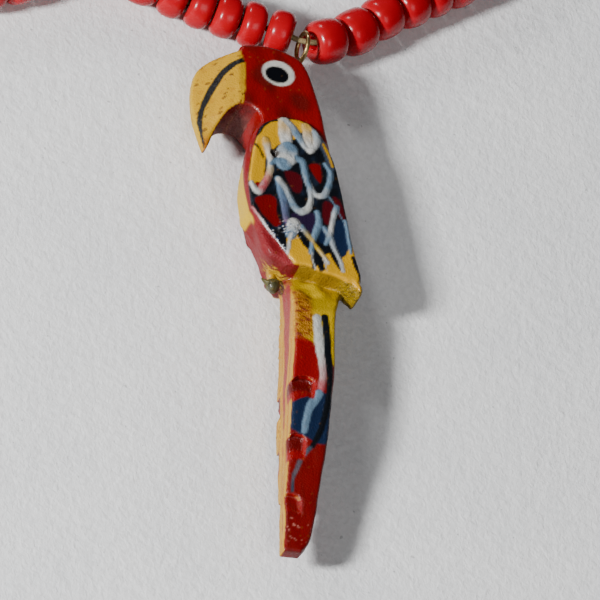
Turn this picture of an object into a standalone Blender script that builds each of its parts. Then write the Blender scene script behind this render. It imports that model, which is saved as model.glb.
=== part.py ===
"""A necklace: a hand-carved, painted wooden macaw that hangs by a brass screw eye from a strand
of turned wooden beads on a cord, closed at the back by a brass barrel clasp.

The necklace lies flat on a table. The origin is on the table under the middle of the carving's
wing, +Z is up, +Y runs up the bird towards its head and +X towards its back. Outlines and
routes are in millimetres from the back corner of the head's top, and everything built is in
metres.
"""

import math

import bmesh
import bpy
import numpy as np
from mathutils import Matrix, Vector

MM = 0.001
HEAD_TOP_Y = 30.0  # from the origin to the head's top, in mm

# The carving, in mm.
BLANK_THICKNESS = 11.0
MIDDLE_Z = BLANK_THICKNESS / 2
LEFT_WING_THICKNESS = 6.2
RIGHT_WING_THICKNESS = 4.5
BODY_STEP = 0.5  # how far each wing stands out from the side of the body
WHITTLED_EDGE = 0.9
WING_EDGE = 0.35

# Plan outlines: (x, y, sharp). A sharp point is a corner, and the others lie on a smooth curve.
BODY_OUTLINE = (
    (-9.0, -1.3, True),
    (-8.2, 0.0, False),
    (-3.8, 0.6, False),
    (-0.3, 0.1, False),
    (2.7, -2.0, False),
    (5.0, -8.8, False),
    (6.3, -14.5, False),
    (7.7, -21.5, False),
    (9.2, -31.8, False),
    (10.4, -38.8, False),
    (10.4, -43.0, False),
    (9.2, -47.0, False),
    (8.2, -51.0, False),
    (8.2, -60.0, False),
    (7.5, -69.6, False),
    (6.5, -81.2, False),
    (5.3, -90.9, False),
    (4.6, -94.5, False),
    (3.3, -96.7, True),
    (0.1, -97.0, True),
    (0.2, -92.0, False),
    (0.3, -80.0, False),
    (0.6, -65.0, False),
    (1.0, -55.0, False),
    (0.9, -45.5, False),
    (0.2, -43.2, True),
    (-1.6, -42.2, False),
    (-3.6, -41.6, False),
    (-5.3, -39.2, False),
    (-6.6, -35.0, False),
    (-7.6, -30.0, False),
    (-8.1, -25.0, False),
    (-7.6, -20.0, False),
    (-6.6, -16.8, False),
    (-5.4, -14.8, True),
    (-5.5, -13.5, False),
    (-6.7, -12.2, False),
    (-8.6, -12.1, False),
    (-9.7, -12.7, False),
    (-10.8, -13.9, False),
    (-12.0, -16.1, False),
    (-13.0, -18.9, False),
    (-13.6, -20.4, True),
    (-14.8, -16.7, False),
    (-15.7, -12.9, False),
    (-15.9, -9.6, False),
    (-15.7, -6.8, False),
    (-14.9, -4.4, False),
    (-13.1, -2.8, False),
    (-11.1, -2.0, False),
)
# A wing's outline down the back, and from its tip round to the front. The tips differ.
WING_BACK = (
    (-7.0, -33.0, True),
    (-7.5, -27.0, False),
    (-6.6, -20.5, False),
    (-5.3, -16.2, False),
    (-2.3, -14.1, False),
    (1.3, -13.5, False),
    (4.2, -14.8, False),
    (6.5, -18.2, False),
    (8.0, -22.5, False),
    (9.8, -31.8, False),
)
LEFT_WING_TIP = (
    (11.2, -38.8, False),
    (12.9, -44.8, True),
    (12.2, -46.2, True),
    (10.0, -44.3, False),
    (8.0, -43.5, False),
)
RIGHT_WING_TIP = (
    (10.8, -38.8, False),
    (11.0, -42.4, True),
    (10.2, -43.3, True),
    (8.0, -43.4, False),
)
WING_FRONT = (
    (5.3, -43.2, False),
    (3.0, -42.5, False),
    (0.6, -42.6, True),
    (-3.7, -37.4, False),
)
# How far the right side of the breast and belly is cut back from the left, (y, shift).
BREAST_SLANT = (
    (-46.0, 0.0),
    (-43.5, 1.0),
    (-41.0, 3.0),
    (-38.0, 3.6),
    (-35.0, 3.1),
    (-30.0, 2.5),
    (-16.5, 2.2),
    (-13.5, 0.0),
)
BREAST_X = (-9.2, -4.5, 0.5)  # none in front of the first (the beak), all to the second, none by the third
# The slope cut under each wing tip, from its foot at the wing up to the tail's side, in mm.
UNDER_WING_Y = (-43.0, -50.5)
UNDER_WING_X = (1.8, 15.0)
UNDER_WING_DEPTHS = (3.4, 1.7)  # on the left and on the right
# Half the thickness along the bird, (y, half), and across the beak, (x, half).
SIDE_PROFILE = (
    (4.0, 5.0),
    (-43.5, 5.0),
    (-45.5, 4.4),
    (-72.0, 3.9),
    (-86.0, 2.1),
    (-102.0, 0.9),
)
BEAK_PROFILE = (
    (-30.0, 0.7),
    (-15.9, 0.8),
    (-14.5, 1.6),
    (-13.0, 2.5),
    (-11.0, 4.0),
    (-9.0, 5.0),
    (-8.0, 5.5),
    (30.0, 5.5),
)

# The screw eye, in mm from the head's top.
EYE_CENTRE = (3.8, 5.62, MIDDLE_Z)
EYE_RADIUS = 2.4  # to the middle of the wire
EYE_WIRE = 0.75
EYE_TURN = math.radians(4)  # about Y, from square to the cord
SHANK_DIRECTION = (-0.5, -0.866, 0.0)
SHANK_LENGTH = 11.0
SHANK_DIAMETER = 0.9
FIT_GAP = 0.25

# The foot peg, glued in the belly, in mm from the head's top.
PEG_CENTRE = (-1.35, -44.1, MIDDLE_Z)
PEG_RADII = (1.15, 1.35, 1.25)
PEG_DIRECTION = (-0.16, 0.987, 0.0)  # out of the lump into the belly
PEG_NECK_DIAMETER = 1.2
PEG_NECK_LENGTH = 5.5
SPUR_LENGTH = 2.3

# The strand, in mm from the head's top. The route goes from the clasp down the left side, through
# the screw eye and up the right side.
CORD_DIAMETER = 1.0
CORD_POINTS = 80
ROUTE = (
    (-6.0, 142.0, 4.0),
    (-22.0, 139.5, 4.0),
    (-40.0, 132.0, 4.0),
    (-56.0, 119.0, 4.0),
    (-69.0, 101.0, 4.0),
    (-78.0, 80.0, 4.0),
    (-83.0, 58.0, 4.0),
    (-84.5, 38.0, 4.0),
    (-82.5, 23.0, 4.0),
    (-78.5, 13.5, 4.0),
    (-72.0, 6.5, 4.0),
    (-64.5, 3.0, 4.0),
    (-56.0, 3.4, 4.0),
    (-48.0, 6.6, 4.0),
    (-40.0, 11.0, 4.0),
    (-32.0, 13.6, 4.0),
    (-24.0, 13.2, 4.0),
    (-16.0, 11.2, 4.0),
    (-8.0, 9.6, 4.0),
    (-4.0, 9.0, 4.1),
    (0.2, 8.3, 4.6),
    (3.8, 7.0, 5.3),
    (7.5, 8.1, 4.7),
    (13.2, 11.8, 4.0),
    (18.1, 16.0, 4.0),
    (22.6, 19.6, 4.0),
    (30.0, 25.0, 4.0),
    (38.5, 32.0, 4.0),
    (46.0, 41.5, 4.0),
    (50.5, 53.0, 4.0),
    (52.5, 67.0, 4.0),
    (52.5, 83.0, 4.0),
    (49.5, 99.0, 4.0),
    (42.5, 114.0, 4.0),
    (32.0, 127.0, 4.0),
    (20.0, 136.5, 4.0),
    (5.5, 142.0, 4.0),
)
EYE_ROUTE_INDEX = 21
BEAD_DIAMETER = 8.0
BEAD_BORE = 2.2
BEAD_FACE = 5.2  # diameter of a bead's flat end
BEAD_GAP = 0.2
BEAD_SIDES = 10
EYE_GAP = 1.8  # from the middle of the eye to the first bead on each side
CLASP_GAP = 0.8  # from a clasp half to the last bead on its side
SEPARATE_PER_SIDE = 12
BEADS_PER_RUN = 14
RUN_SIDES = 8
RUN_NECK = 3.2  # outer diameter of a run between its beads
LEFT_LENGTHS = (4.3, 4.1, 4.4, 4.2, 4.5)
RIGHT_LENGTHS = (5.9, 6.2, 5.7, 5.6)
OTHER_LENGTHS = (5.4, 4.7, 5.8, 5.1, 4.5, 5.6, 4.9)

# The barrel clasp, in mm.
CLASP_DIAMETER = 6.0
SOCKET_LENGTH = 7.0
PLUG_HEAD_LENGTH = 4.5
STUD_DIAMETER = 2.8
STUD_LENGTH = 4.2
CLASP_CORD_HOLE = 1.7
CLASP_HOLE_DEPTH = 2.2
CORD_IN_CLASP = 1.8
CLASP_SIDES = 16


def clear_scene():
    for obj in list(bpy.data.objects):
        bpy.data.objects.remove(obj, do_unlink=True)


def from_head(x, y, z=0.0):
    """A place given in mm from the head's top, as metres from the origin."""
    return Vector((x, y + HEAD_TOP_Y, z)) * MM


def collection(name):
    made = bpy.data.collections.new(name)
    bpy.context.scene.collection.children.link(made)
    return made


def material(name, colour, roughness, metallic=0.0):
    made = bpy.data.materials.new(name)
    made.use_nodes = True
    shader = made.node_tree.nodes["Principled BSDF"]
    shader.inputs["Base Color"].default_value = (*colour, 1.0)
    shader.inputs["Roughness"].default_value = roughness
    shader.inputs["Metallic"].default_value = metallic
    return made


def add_object(name, mesh, home, finish=None):
    made = bpy.data.objects.new(name, mesh)
    home.objects.link(made)
    if finish is not None:
        made.data.materials.append(finish)
    return made


def hide_cutter(obj):
    obj.hide_render = True
    obj.display_type = "WIRE"


def boolean(obj, operation, other):
    modifier = obj.modifiers.new(f"{operation.lower()}_{other.name}", "BOOLEAN")
    modifier.operation = operation
    modifier.solver = "EXACT"
    modifier.object = other


def plate(name, outline, thickness, home):
    """A flat outline with its thickness centred on local Z, as a mesh."""
    curve = bpy.data.curves.new(name, "CURVE")
    curve.dimensions = "2D"
    curve.fill_mode = "BOTH"
    curve.extrude = thickness * MM / 2
    curve.resolution_u = 2
    spline = curve.splines.new("BEZIER")
    spline.use_cyclic_u = True
    spline.bezier_points.add(len(outline) - 1)
    for point, (x, y, sharp) in zip(spline.bezier_points, outline):
        point.co = Vector((x, y, 0.0)) * MM
        handles = "VECTOR" if sharp else "AUTO"
        point.handle_left_type = handles
        point.handle_right_type = handles
    guide = bpy.data.objects.new(name + "_guide", curve)
    home.objects.link(guide)
    bpy.context.view_layer.update()
    evaluated = guide.evaluated_get(bpy.context.evaluated_depsgraph_get())
    mesh = bpy.data.meshes.new_from_object(evaluated)
    bpy.data.objects.remove(guide)
    welded = bmesh.new()
    welded.from_mesh(mesh)
    bmesh.ops.remove_doubles(welded, verts=welded.verts, dist=1e-6)
    bmesh.ops.recalc_face_normals(welded, faces=welded.faces)
    welded.to_mesh(mesh)
    welded.free()
    return add_object(name, mesh, home)


def bevelled(obj, width, segments):
    edge = obj.modifiers.new("whittled_edge", "BEVEL")
    edge.width = width * MM
    edge.segments = segments
    edge.limit_method = "ANGLE"
    edge.angle_limit = math.radians(50)
    return obj


def profile_plate(name, profile, thickness, home):
    """A plate whose outline is a half profile and its mirror image: (along, half) pairs."""
    upper = [(along, half, True) for along, half in profile]
    lower = [(along, -half, True) for along, half in reversed(profile)]
    return plate(name, upper + lower, thickness, home)


def cylinder(name, start, direction, length, diameter, home, sides=16):
    """A rod from a start point along a direction. Sizes are in mm and places in metres."""
    mesh = bpy.data.meshes.new(name)
    rod = bmesh.new()
    bmesh.ops.create_cone(
        rod,
        cap_ends=True,
        segments=sides,
        radius1=diameter * MM / 2,
        radius2=diameter * MM / 2,
        depth=length * MM,
    )
    bmesh.ops.translate(rod, verts=rod.verts, vec=(0, 0, length * MM / 2))
    rod.to_mesh(mesh)
    rod.free()
    made = add_object(name, mesh, home)
    made.location = start
    made.rotation_mode = "QUATERNION"
    made.rotation_quaternion = Vector(direction).to_track_quat("Z", "Y")
    return made


def turned(name, profile, sides, home):
    """A closed (radius, z) loop in mm turned about local Z. It runs down its outer side."""
    mesh = bpy.data.meshes.new(name)
    count = len(profile)
    mesh.from_pydata(
        [(radius * MM, 0.0, z * MM) for radius, z in profile],
        [(i, (i + 1) % count) for i in range(count)],
        [],
    )
    made = add_object(name, mesh, home)
    screw = made.modifiers.new("turn", "SCREW")
    screw.steps = sides
    screw.render_steps = sides
    screw.use_merge_vertices = True
    screw.merge_threshold = 0.00001
    return made


def shank_start():
    """Where the shank leaves the ring, on the ring's side towards the bird."""
    x, y, z = EYE_CENTRE
    return from_head(x, y - EYE_RADIUS, z)


def breast_shift(x, y):
    """How far, in mm, a place on the right side's outline moves back from the left side's."""
    beak, full, none = BREAST_X
    ys, shifts = zip(*BREAST_SLANT)
    if x < beak:
        return 0.0
    return np.interp(y, ys, shifts) * np.interp(x, (full, none), (1.0, 0.0))


def slant_breast(mesh):
    """Moves the right side's edge of the breast and belly back, so that they face a little down."""
    for vertex in mesh.vertices:
        if vertex.co.z < 0:
            vertex.co.x += breast_shift(vertex.co.x / MM, vertex.co.y / MM) * MM


def under_wing(side, depth, home):
    """A cutter for the slope between a wing's tip and the tail, on the left (1) or right (-1)."""
    foot, top = UNDER_WING_Y
    face = SIDE_PROFILE[2][1]
    section = [(foot, face - depth), (top, face), (top, face + 3), (foot, face + 3)]
    mesh = bpy.data.meshes.new("under_wing")
    wedge = bmesh.new()
    ends = []
    for x in UNDER_WING_X:
        ends.append([wedge.verts.new(Vector((x, y, side * z)) * MM) for y, z in section])
    for i in range(4):
        j = (i + 1) % 4
        wedge.faces.new((ends[0][i], ends[0][j], ends[1][j], ends[1][i]))
    wedge.faces.new(ends[0])
    wedge.faces.new(ends[1])
    bmesh.ops.recalc_face_normals(wedge, faces=wedge.faces)
    wedge.to_mesh(mesh)
    wedge.free()
    made = add_object("under_wing", mesh, home)
    made.location = from_head(0, 0, MIDDLE_Z)
    return made


def carved_macaw(parts, cutters, finish):
    """The bird, cut from one board: a plan outline, thinned along the tail and towards the beak,
    with a wing standing out on each side and bores for the screw eye and the foot peg."""
    body = plate("carved_macaw", BODY_OUTLINE, BLANK_THICKNESS - 2 * BODY_STEP, parts)
    slant_breast(body.data)
    body.data.materials.append(finish)
    body.location = from_head(0, 0, MIDDLE_Z)
    bevelled(body, WHITTLED_EDGE, 2)

    side = profile_plate("side_profile", SIDE_PROFILE, 80.0, cutters)
    side.location = from_head(0, 0, MIDDLE_Z)
    # The profile's own X is the bird's length and its own Y the thickness.
    side.rotation_euler = Matrix(((0, 0, 1), (1, 0, 0), (0, 1, 0))).to_euler()

    beak = profile_plate("beak_profile", BEAK_PROFILE, 240.0, cutters)
    beak.location = from_head(0, 0, MIDDLE_Z)
    beak.rotation_euler = (math.radians(90), 0, 0)

    slopes = [under_wing(side, depth, cutters) for side, depth in zip((1, -1), UNDER_WING_DEPTHS)]

    wings = []
    for name, tip, thickness, middle in (
        (
            "left_wing",
            LEFT_WING_TIP,
            LEFT_WING_THICKNESS,
            BLANK_THICKNESS - LEFT_WING_THICKNESS / 2,
        ),
        ("right_wing", RIGHT_WING_TIP, RIGHT_WING_THICKNESS, RIGHT_WING_THICKNESS / 2),
    ):
        outline = (*WING_BACK, *tip, *WING_FRONT)
        if name == "right_wing":
            outline = [(x + breast_shift(x, y), y, sharp) for x, y, sharp in outline]
        wing = bevelled(plate(name, outline, thickness, cutters), WING_EDGE, 1)
        wing.location = from_head(0, 0, middle)
        wings.append(wing)

    shank_hole = cylinder(
        "shank_hole",
        shank_start(),
        SHANK_DIRECTION,
        SHANK_LENGTH + FIT_GAP,
        SHANK_DIAMETER + 2 * FIT_GAP,
        cutters,
    )
    peg_hole = cylinder(
        "peg_hole",
        from_head(*PEG_CENTRE),
        PEG_DIRECTION,
        PEG_NECK_LENGTH + FIT_GAP,
        PEG_NECK_DIAMETER + 2 * FIT_GAP,
        cutters,
    )
    for cutter in (side, beak, *slopes, *wings, shank_hole, peg_hole):
        hide_cutter(cutter)
    boolean(body, "INTERSECT", side)
    boolean(body, "INTERSECT", beak)
    for slope in slopes:
        boolean(body, "DIFFERENCE", slope)
    for wing in wings:
        boolean(body, "UNION", wing)
    boolean(body, "DIFFERENCE", shank_hole)
    boolean(body, "DIFFERENCE", peg_hole)
    return body


def screw_eye(parts, cutters, finish):
    """A ring of brass wire round the cord, on a shank that is screwed into the head."""
    mesh = bpy.data.meshes.new("screw_eye")
    ring = bmesh.new()
    section = bmesh.ops.create_circle(ring, segments=8, radius=EYE_WIRE * MM / 2)
    bmesh.ops.translate(ring, verts=section["verts"], vec=(EYE_RADIUS * MM, 0, 0))
    bmesh.ops.spin(
        ring,
        geom=ring.verts[:] + ring.edges[:],
        cent=(0, 0, 0),
        axis=(0, 1, 0),
        dvec=(0, 0, 0),
        angle=math.tau,
        steps=24,
        use_merge=True,
    )
    bmesh.ops.remove_doubles(ring, verts=ring.verts, dist=1e-6)
    bmesh.ops.recalc_face_normals(ring, faces=ring.faces)
    ring.to_mesh(mesh)
    ring.free()
    eye = add_object("screw_eye", mesh, parts, finish)
    eye.location = from_head(*EYE_CENTRE)
    # The ring was turned about local Y, and its own Y becomes the bird's X.
    quarter_turn = Matrix.Rotation(math.radians(-90), 3, "Z")
    eye.rotation_euler = (Matrix.Rotation(EYE_TURN, 3, "Y") @ quarter_turn).to_euler()
    shank = cylinder(
        "eye_shank",
        shank_start(),
        SHANK_DIRECTION,
        SHANK_LENGTH,
        SHANK_DIAMETER,
        cutters,
        sides=12,
    )
    hide_cutter(shank)
    boolean(eye, "UNION", shank)
    return eye


def foot_peg(parts, cutters, finish):
    """The stub of the bird's feet: a lump with a spur, on a neck that is glued in the belly."""
    mesh = bpy.data.meshes.new("foot_peg")
    lump = bmesh.new()
    bmesh.ops.create_uvsphere(lump, u_segments=12, v_segments=8, radius=MM)
    bmesh.ops.scale(lump, verts=lump.verts, vec=PEG_RADII)
    lump.to_mesh(mesh)
    lump.free()
    peg = add_object("foot_peg", mesh, parts, finish)
    peg.location = from_head(*PEG_CENTRE)
    neck = cylinder(
        "peg_neck",
        from_head(*PEG_CENTRE),
        PEG_DIRECTION,
        PEG_NECK_LENGTH,
        PEG_NECK_DIAMETER,
        cutters,
        sides=12,
    )
    spur_mesh = bpy.data.meshes.new("peg_spur")
    spur = bmesh.new()
    bmesh.ops.create_cone(
        spur, cap_ends=True, segments=8, radius1=0.7 * MM, radius2=0.15 * MM, depth=SPUR_LENGTH * MM
    )
    bmesh.ops.translate(spur, verts=spur.verts, vec=(0, 0, SPUR_LENGTH * MM / 2))
    spur.to_mesh(spur_mesh)
    spur.free()
    spur_object = add_object("peg_spur", spur_mesh, cutters)
    spur_object.location = from_head(*PEG_CENTRE)
    spur_object.rotation_mode = "QUATERNION"
    spur_object.rotation_quaternion = Vector((-0.96, 0.26, 0.1)).to_track_quat("Z", "Y")
    for cutter in (neck, spur_object):
        hide_cutter(cutter)
        boolean(peg, "UNION", cutter)
    return peg


def smooth_route(points, steps=24):
    """A Catmull-Rom curve through the points, as a dense polyline in mm from the head's top."""
    ends = [2 * points[0] - points[1], *points, 2 * points[-1] - points[-2]]
    dense = []
    for before, start, end, after in zip(ends, ends[1:], ends[2:], ends[3:]):
        for t in np.arange(steps) / steps:
            dense.append(
                0.5
                * (
                    2 * start
                    + (end - before) * t
                    + (2 * before - 5 * start + 4 * end - after) * t**2
                    + (3 * start - before - 3 * end + after) * t**3
                )
            )
    return np.array([*dense, points[-1]])


class Strand:
    """The cord's route, read by its length from the clasp socket, in mm."""

    def __init__(self):
        knots = [np.array(point) for point in ROUTE]
        self.points = smooth_route(knots)
        steps = np.linalg.norm(np.diff(self.points, axis=0), axis=1)
        self.along = np.concatenate([[0.0], np.cumsum(steps)])
        self.length = self.along[-1]
        nearest = np.linalg.norm(self.points - knots[EYE_ROUTE_INDEX], axis=1).argmin()
        self.eye = self.along[nearest]

    def place(self, s):
        return np.array([np.interp(s, self.along, column) for column in self.points.T])

    def heading(self, s):
        run = self.place(s + 1.0) - self.place(s - 1.0)
        return run / np.linalg.norm(run)

    def next_bead(self, s, length, next_length, side):
        """Where the next bead sits: end to end, and further apart where the cord bends."""
        gap = 0.0
        for _ in range(4):
            found = s + side * ((length + next_length) / 2 + BEAD_GAP + gap)
            turn = math.acos(min(1.0, self.heading(s) @ self.heading(found)))
            gap = turn * BEAD_FACE / 2
        return found


def bead_places(strand, side, first_lengths, limit):
    """(distance along the cord, length) of each bead from the eye to the clasp, on one side."""
    lengths = list(first_lengths)
    found = [(strand.eye + side * (EYE_GAP + lengths[0] / 2), lengths[0])]
    while True:
        count = len(found)
        if count < len(first_lengths):
            length = first_lengths[count]
        else:
            length = OTHER_LENGTHS[count % len(OTHER_LENGTHS)]
        s, before = found[-1]
        following = strand.next_bead(s, before, length, side)
        if side * (limit - following) < length / 2 + CLASP_GAP:
            return found
        found.append((following, length))


def bead_mesh(length):
    """A turned barrel bead about local Z, with its bore."""
    half = length / 2
    radius = BEAD_DIAMETER / 2
    profile = (
        (BEAD_BORE / 2, half),
        (BEAD_FACE / 2, half),
        (radius - 0.35, half * 0.62),
        (radius, 0.0),
        (radius - 0.35, -half * 0.62),
        (BEAD_FACE / 2, -half),
        (BEAD_BORE / 2, -half),
    )
    bead = bmesh.new()
    loop = [bead.verts.new((r * MM, 0, z * MM)) for r, z in profile]
    for start, end in zip(loop, loop[1:] + loop[:1]):
        bead.edges.new((start, end))
    bmesh.ops.spin(
        bead,
        geom=bead.verts[:] + bead.edges[:],
        cent=(0, 0, 0),
        axis=(0, 0, 1),
        dvec=(0, 0, 0),
        angle=math.tau,
        steps=BEAD_SIDES,
        use_merge=True,
    )
    bmesh.ops.remove_doubles(bead, verts=bead.verts, dist=1e-6)
    bmesh.ops.recalc_face_normals(bead, faces=bead.faces)
    mesh = bpy.data.meshes.new(f"bead_{length:.1f}")
    bead.to_mesh(mesh)
    bead.free()
    return mesh


def bead_matrix(strand, s):
    turn = Vector(strand.heading(s)).to_track_quat("Z", "Y").to_matrix().to_4x4()
    return Matrix.Translation(from_head(*strand.place(s))) @ turn


def run_mesh(strand, places):
    """A run of beads as one body: rings round the cord's route, wide on each bead and narrow
    between two, with one bore through them all."""
    radius = BEAD_DIAMETER / 2
    stations = []
    for s, length in places:
        half = length / 2
        stations += [(s - half * 0.72, radius), (s + half * 0.72, radius), (s + half, RUN_NECK / 2)]
    first, first_length = places[0]
    stations.insert(0, (first - first_length / 2, RUN_NECK / 2))
    rings = {True: [], False: []}
    run = bmesh.new()
    for s, outer in stations:
        turn = Vector(strand.heading(s)).to_track_quat("Z", "Y")
        middle = from_head(*strand.place(s))
        for outside, size in ((True, outer), (False, BEAD_BORE / 2)):
            angles = (math.tau * i / RUN_SIDES for i in range(RUN_SIDES))
            spokes = (Vector((math.cos(a), math.sin(a), 0)) * size * MM for a in angles)
            rings[outside].append([run.verts.new(middle + turn @ spoke) for spoke in spokes])
    strips = [pair for side in rings.values() for pair in zip(side, side[1:])]
    strips += [(rings[True][end], rings[False][end]) for end in (0, -1)]
    for ring, following in strips:
        for i in range(RUN_SIDES):
            j = (i + 1) % RUN_SIDES
            run.faces.new((ring[i], ring[j], following[j], following[i]))
    bmesh.ops.recalc_face_normals(run, faces=run.faces)
    mesh = bpy.data.meshes.new("run")
    run.to_mesh(mesh)
    run.free()
    return mesh


def beads(parts, finish, strand):
    """The beads nearest the pendant, each its own object, and the others in runs along the cord."""
    meshes = {}
    sides = (
        ("left", -1, LEFT_LENGTHS, 0.0),
        ("right", 1, RIGHT_LENGTHS, strand.length),
    )
    for name, side, first_lengths, limit in sides:
        places = bead_places(strand, side, first_lengths, limit)
        for number, (s, length) in enumerate(places[:SEPARATE_PER_SIDE], 1):
            mesh = meshes.get(length) or meshes.setdefault(length, bead_mesh(length))
            bead = add_object(f"bead_{name}_{number:02d}", mesh, parts)
            if not mesh.materials:
                mesh.materials.append(finish)
            bead.matrix_world = bead_matrix(strand, s)
        rest = places[SEPARATE_PER_SIDE:]
        for number, start in enumerate(range(0, len(rest), BEADS_PER_RUN), 1):
            mesh = run_mesh(strand, sorted(rest[start : start + BEADS_PER_RUN]))
            mesh.name = f"bead_run_{name}_{number}"
            add_object(mesh.name, mesh, parts, finish)


def strand_cord(parts, finish, strand):
    """The cord, from inside the clasp socket round to inside the clasp plug."""
    curve = bpy.data.curves.new("strand_cord", "CURVE")
    curve.dimensions = "3D"
    curve.bevel_depth = CORD_DIAMETER * MM / 2
    curve.bevel_resolution = 2
    curve.use_fill_caps = True
    spline = curve.splines.new("POLY")
    spline.points.add(CORD_POINTS - 1)
    # One point is in the middle of the screw eye, where the cord dips most.
    before_eye = round(CORD_POINTS * strand.eye / strand.length)
    to_eye = np.linspace(0.0, strand.eye, before_eye)
    from_eye = np.linspace(strand.eye, strand.length, CORD_POINTS - before_eye + 1)[1:]
    for point, s in zip(spline.points, [*to_eye, *from_eye]):
        point.co = (*from_head(*strand.place(s)), 1.0)
    return add_object("strand_cord", curve, parts, finish)


def clasp(parts, finish, strand):
    """The two halves of the barrel clasp on one axis, each with the cord's end in its hole."""
    start = from_head(*strand.place(0.0))
    end = from_head(*strand.place(strand.length))
    axis = (end - start).normalized()
    radius = CLASP_DIAMETER / 2
    hole = CLASP_CORD_HOLE / 2
    socket = turned(
        "clasp_socket",
        (
            (hole, SOCKET_LENGTH),
            (1.6, SOCKET_LENGTH),
            (radius - 0.5, SOCKET_LENGTH - 0.9),
            (radius, SOCKET_LENGTH - 1.8),
            (radius, 0.3),
            (radius - 0.3, 0.0),
            (STUD_DIAMETER / 2 + FIT_GAP, 0.0),
            (STUD_DIAMETER / 2 + FIT_GAP, SOCKET_LENGTH - CLASP_HOLE_DEPTH - 0.3),
            (hole, SOCKET_LENGTH - CLASP_HOLE_DEPTH),
        ),
        CLASP_SIDES,
        parts,
    )
    plug = turned(
        "clasp_plug",
        (
            (0.0, STUD_LENGTH),
            (STUD_DIAMETER / 2 - 0.3, STUD_LENGTH),
            (STUD_DIAMETER / 2, STUD_LENGTH - 0.3),
            (STUD_DIAMETER / 2, 0.0),
            (radius - 0.3, 0.0),
            (radius, -0.3),
            (radius, 1.8 - PLUG_HEAD_LENGTH),
            (radius - 0.5, 0.9 - PLUG_HEAD_LENGTH),
            (1.6, -PLUG_HEAD_LENGTH),
            (hole, -PLUG_HEAD_LENGTH),
            (hole, CLASP_HOLE_DEPTH - PLUG_HEAD_LENGTH),
            (0.0, CLASP_HOLE_DEPTH - PLUG_HEAD_LENGTH),
        ),
        CLASP_SIDES,
        parts,
    )
    # Each half's own Z points from the plug to the socket.
    facing = (-axis).to_track_quat("Z", "Y")
    middle = start + axis * (SOCKET_LENGTH - CORD_IN_CLASP) * MM
    for half, place in ((socket, middle), (plug, middle + axis * FIT_GAP * MM)):
        half.data.materials.append(finish)
        half.location = place
        half.rotation_mode = "QUATERNION"
        half.rotation_quaternion = facing
    return socket, plug


def smooth_round_pieces(home):
    for obj in home.objects:
        if obj.type == "MESH":
            obj.data.shade_smooth()
            obj.data.set_sharp_from_angle(angle=math.radians(35))


def build():
    clear_scene()
    parts = collection("macaw_necklace")
    cutters = collection("cutters")
    red_paint = material("painted_wood", (0.55, 0.02, 0.03), 0.35)
    olive = material("olive_paint", (0.12, 0.12, 0.04), 0.5)
    brass = material("aged_brass", (0.45, 0.34, 0.14), 0.35, 1.0)
    red_lacquer = material("red_lacquer", (0.62, 0.01, 0.02), 0.2)
    tan_cord = material("tan_cord", (0.35, 0.27, 0.14), 0.8)
    strand = Strand()
    carved_macaw(parts, cutters, red_paint)
    screw_eye(parts, cutters, brass)
    foot_peg(parts, cutters, olive)
    strand_cord(parts, tan_cord, strand)
    beads(parts, red_lacquer, strand)
    clasp(parts, brass, strand)
    smooth_round_pieces(parts)


build()
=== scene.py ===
"""Looks for the macaw necklace: the carved and painted bird, its screw eye and foot peg, the
lacquered beads, the twisted cord and the barrel clasp, on a pale paper floor.

Places and sizes are in millimetres from the back corner of the head's top, as in the part's own
source, and become metres in from_head(). The bird is carved as a distance field and painted
point by point, in the order a painter would lay the colours.
"""

import math

import bpy
import numpy as np
from mathutils import Matrix, Vector


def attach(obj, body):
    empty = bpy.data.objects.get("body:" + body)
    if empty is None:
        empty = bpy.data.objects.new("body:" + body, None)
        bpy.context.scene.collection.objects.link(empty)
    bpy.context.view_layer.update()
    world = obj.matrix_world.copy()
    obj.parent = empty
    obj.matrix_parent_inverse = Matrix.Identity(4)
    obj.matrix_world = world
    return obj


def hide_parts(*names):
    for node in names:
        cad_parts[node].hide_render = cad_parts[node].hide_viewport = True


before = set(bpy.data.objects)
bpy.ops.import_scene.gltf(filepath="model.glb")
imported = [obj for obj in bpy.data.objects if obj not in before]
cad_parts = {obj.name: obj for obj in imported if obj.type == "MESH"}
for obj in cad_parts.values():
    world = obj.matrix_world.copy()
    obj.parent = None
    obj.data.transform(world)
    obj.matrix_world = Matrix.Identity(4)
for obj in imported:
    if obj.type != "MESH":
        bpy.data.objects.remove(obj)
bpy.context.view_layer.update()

MM = 0.001
HEAD_TOP_Y = 30.0
MIDDLE_Z = 5.5
PENDANT, STRAND = "pendant", "strand"


def from_head(points):
    """Places in mm from the head's top, as metres from the origin."""
    return (np.asarray(points, float) + (0.0, HEAD_TOP_Y, 0.0)) * MM


# Camera and lights --------------------------------------------------------------------------

VIEW_RIGHT = Vector((0.940, 0.0, 0.340)).normalized()
VIEW_BACK = VIEW_RIGHT.cross((-0.195, 0.8187, 0.540)).normalized()
VIEW_UP = VIEW_BACK.cross(VIEW_RIGHT)
VIEW_CENTRE = (1.4, -49.9, 11.0)
VIEW_WIDTH = 98.4
CAMERA_DISTANCE = 3000.0
SENSOR = 36.0


def make_camera():
    data = bpy.data.cameras.new("camera")
    data.sensor_width = SENSOR
    data.lens = SENSOR * CAMERA_DISTANCE / VIEW_WIDTH
    data.clip_start = 0.1
    camera = bpy.data.objects.new("camera", data)
    turn = Matrix((VIEW_RIGHT, VIEW_UP, VIEW_BACK)).transposed()
    camera.matrix_world = turn.to_4x4()
    camera.location = Vector(from_head(VIEW_CENTRE)) + VIEW_BACK * CAMERA_DISTANCE * MM
    bpy.context.scene.collection.objects.link(camera)
    bpy.context.scene.camera = camera


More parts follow.
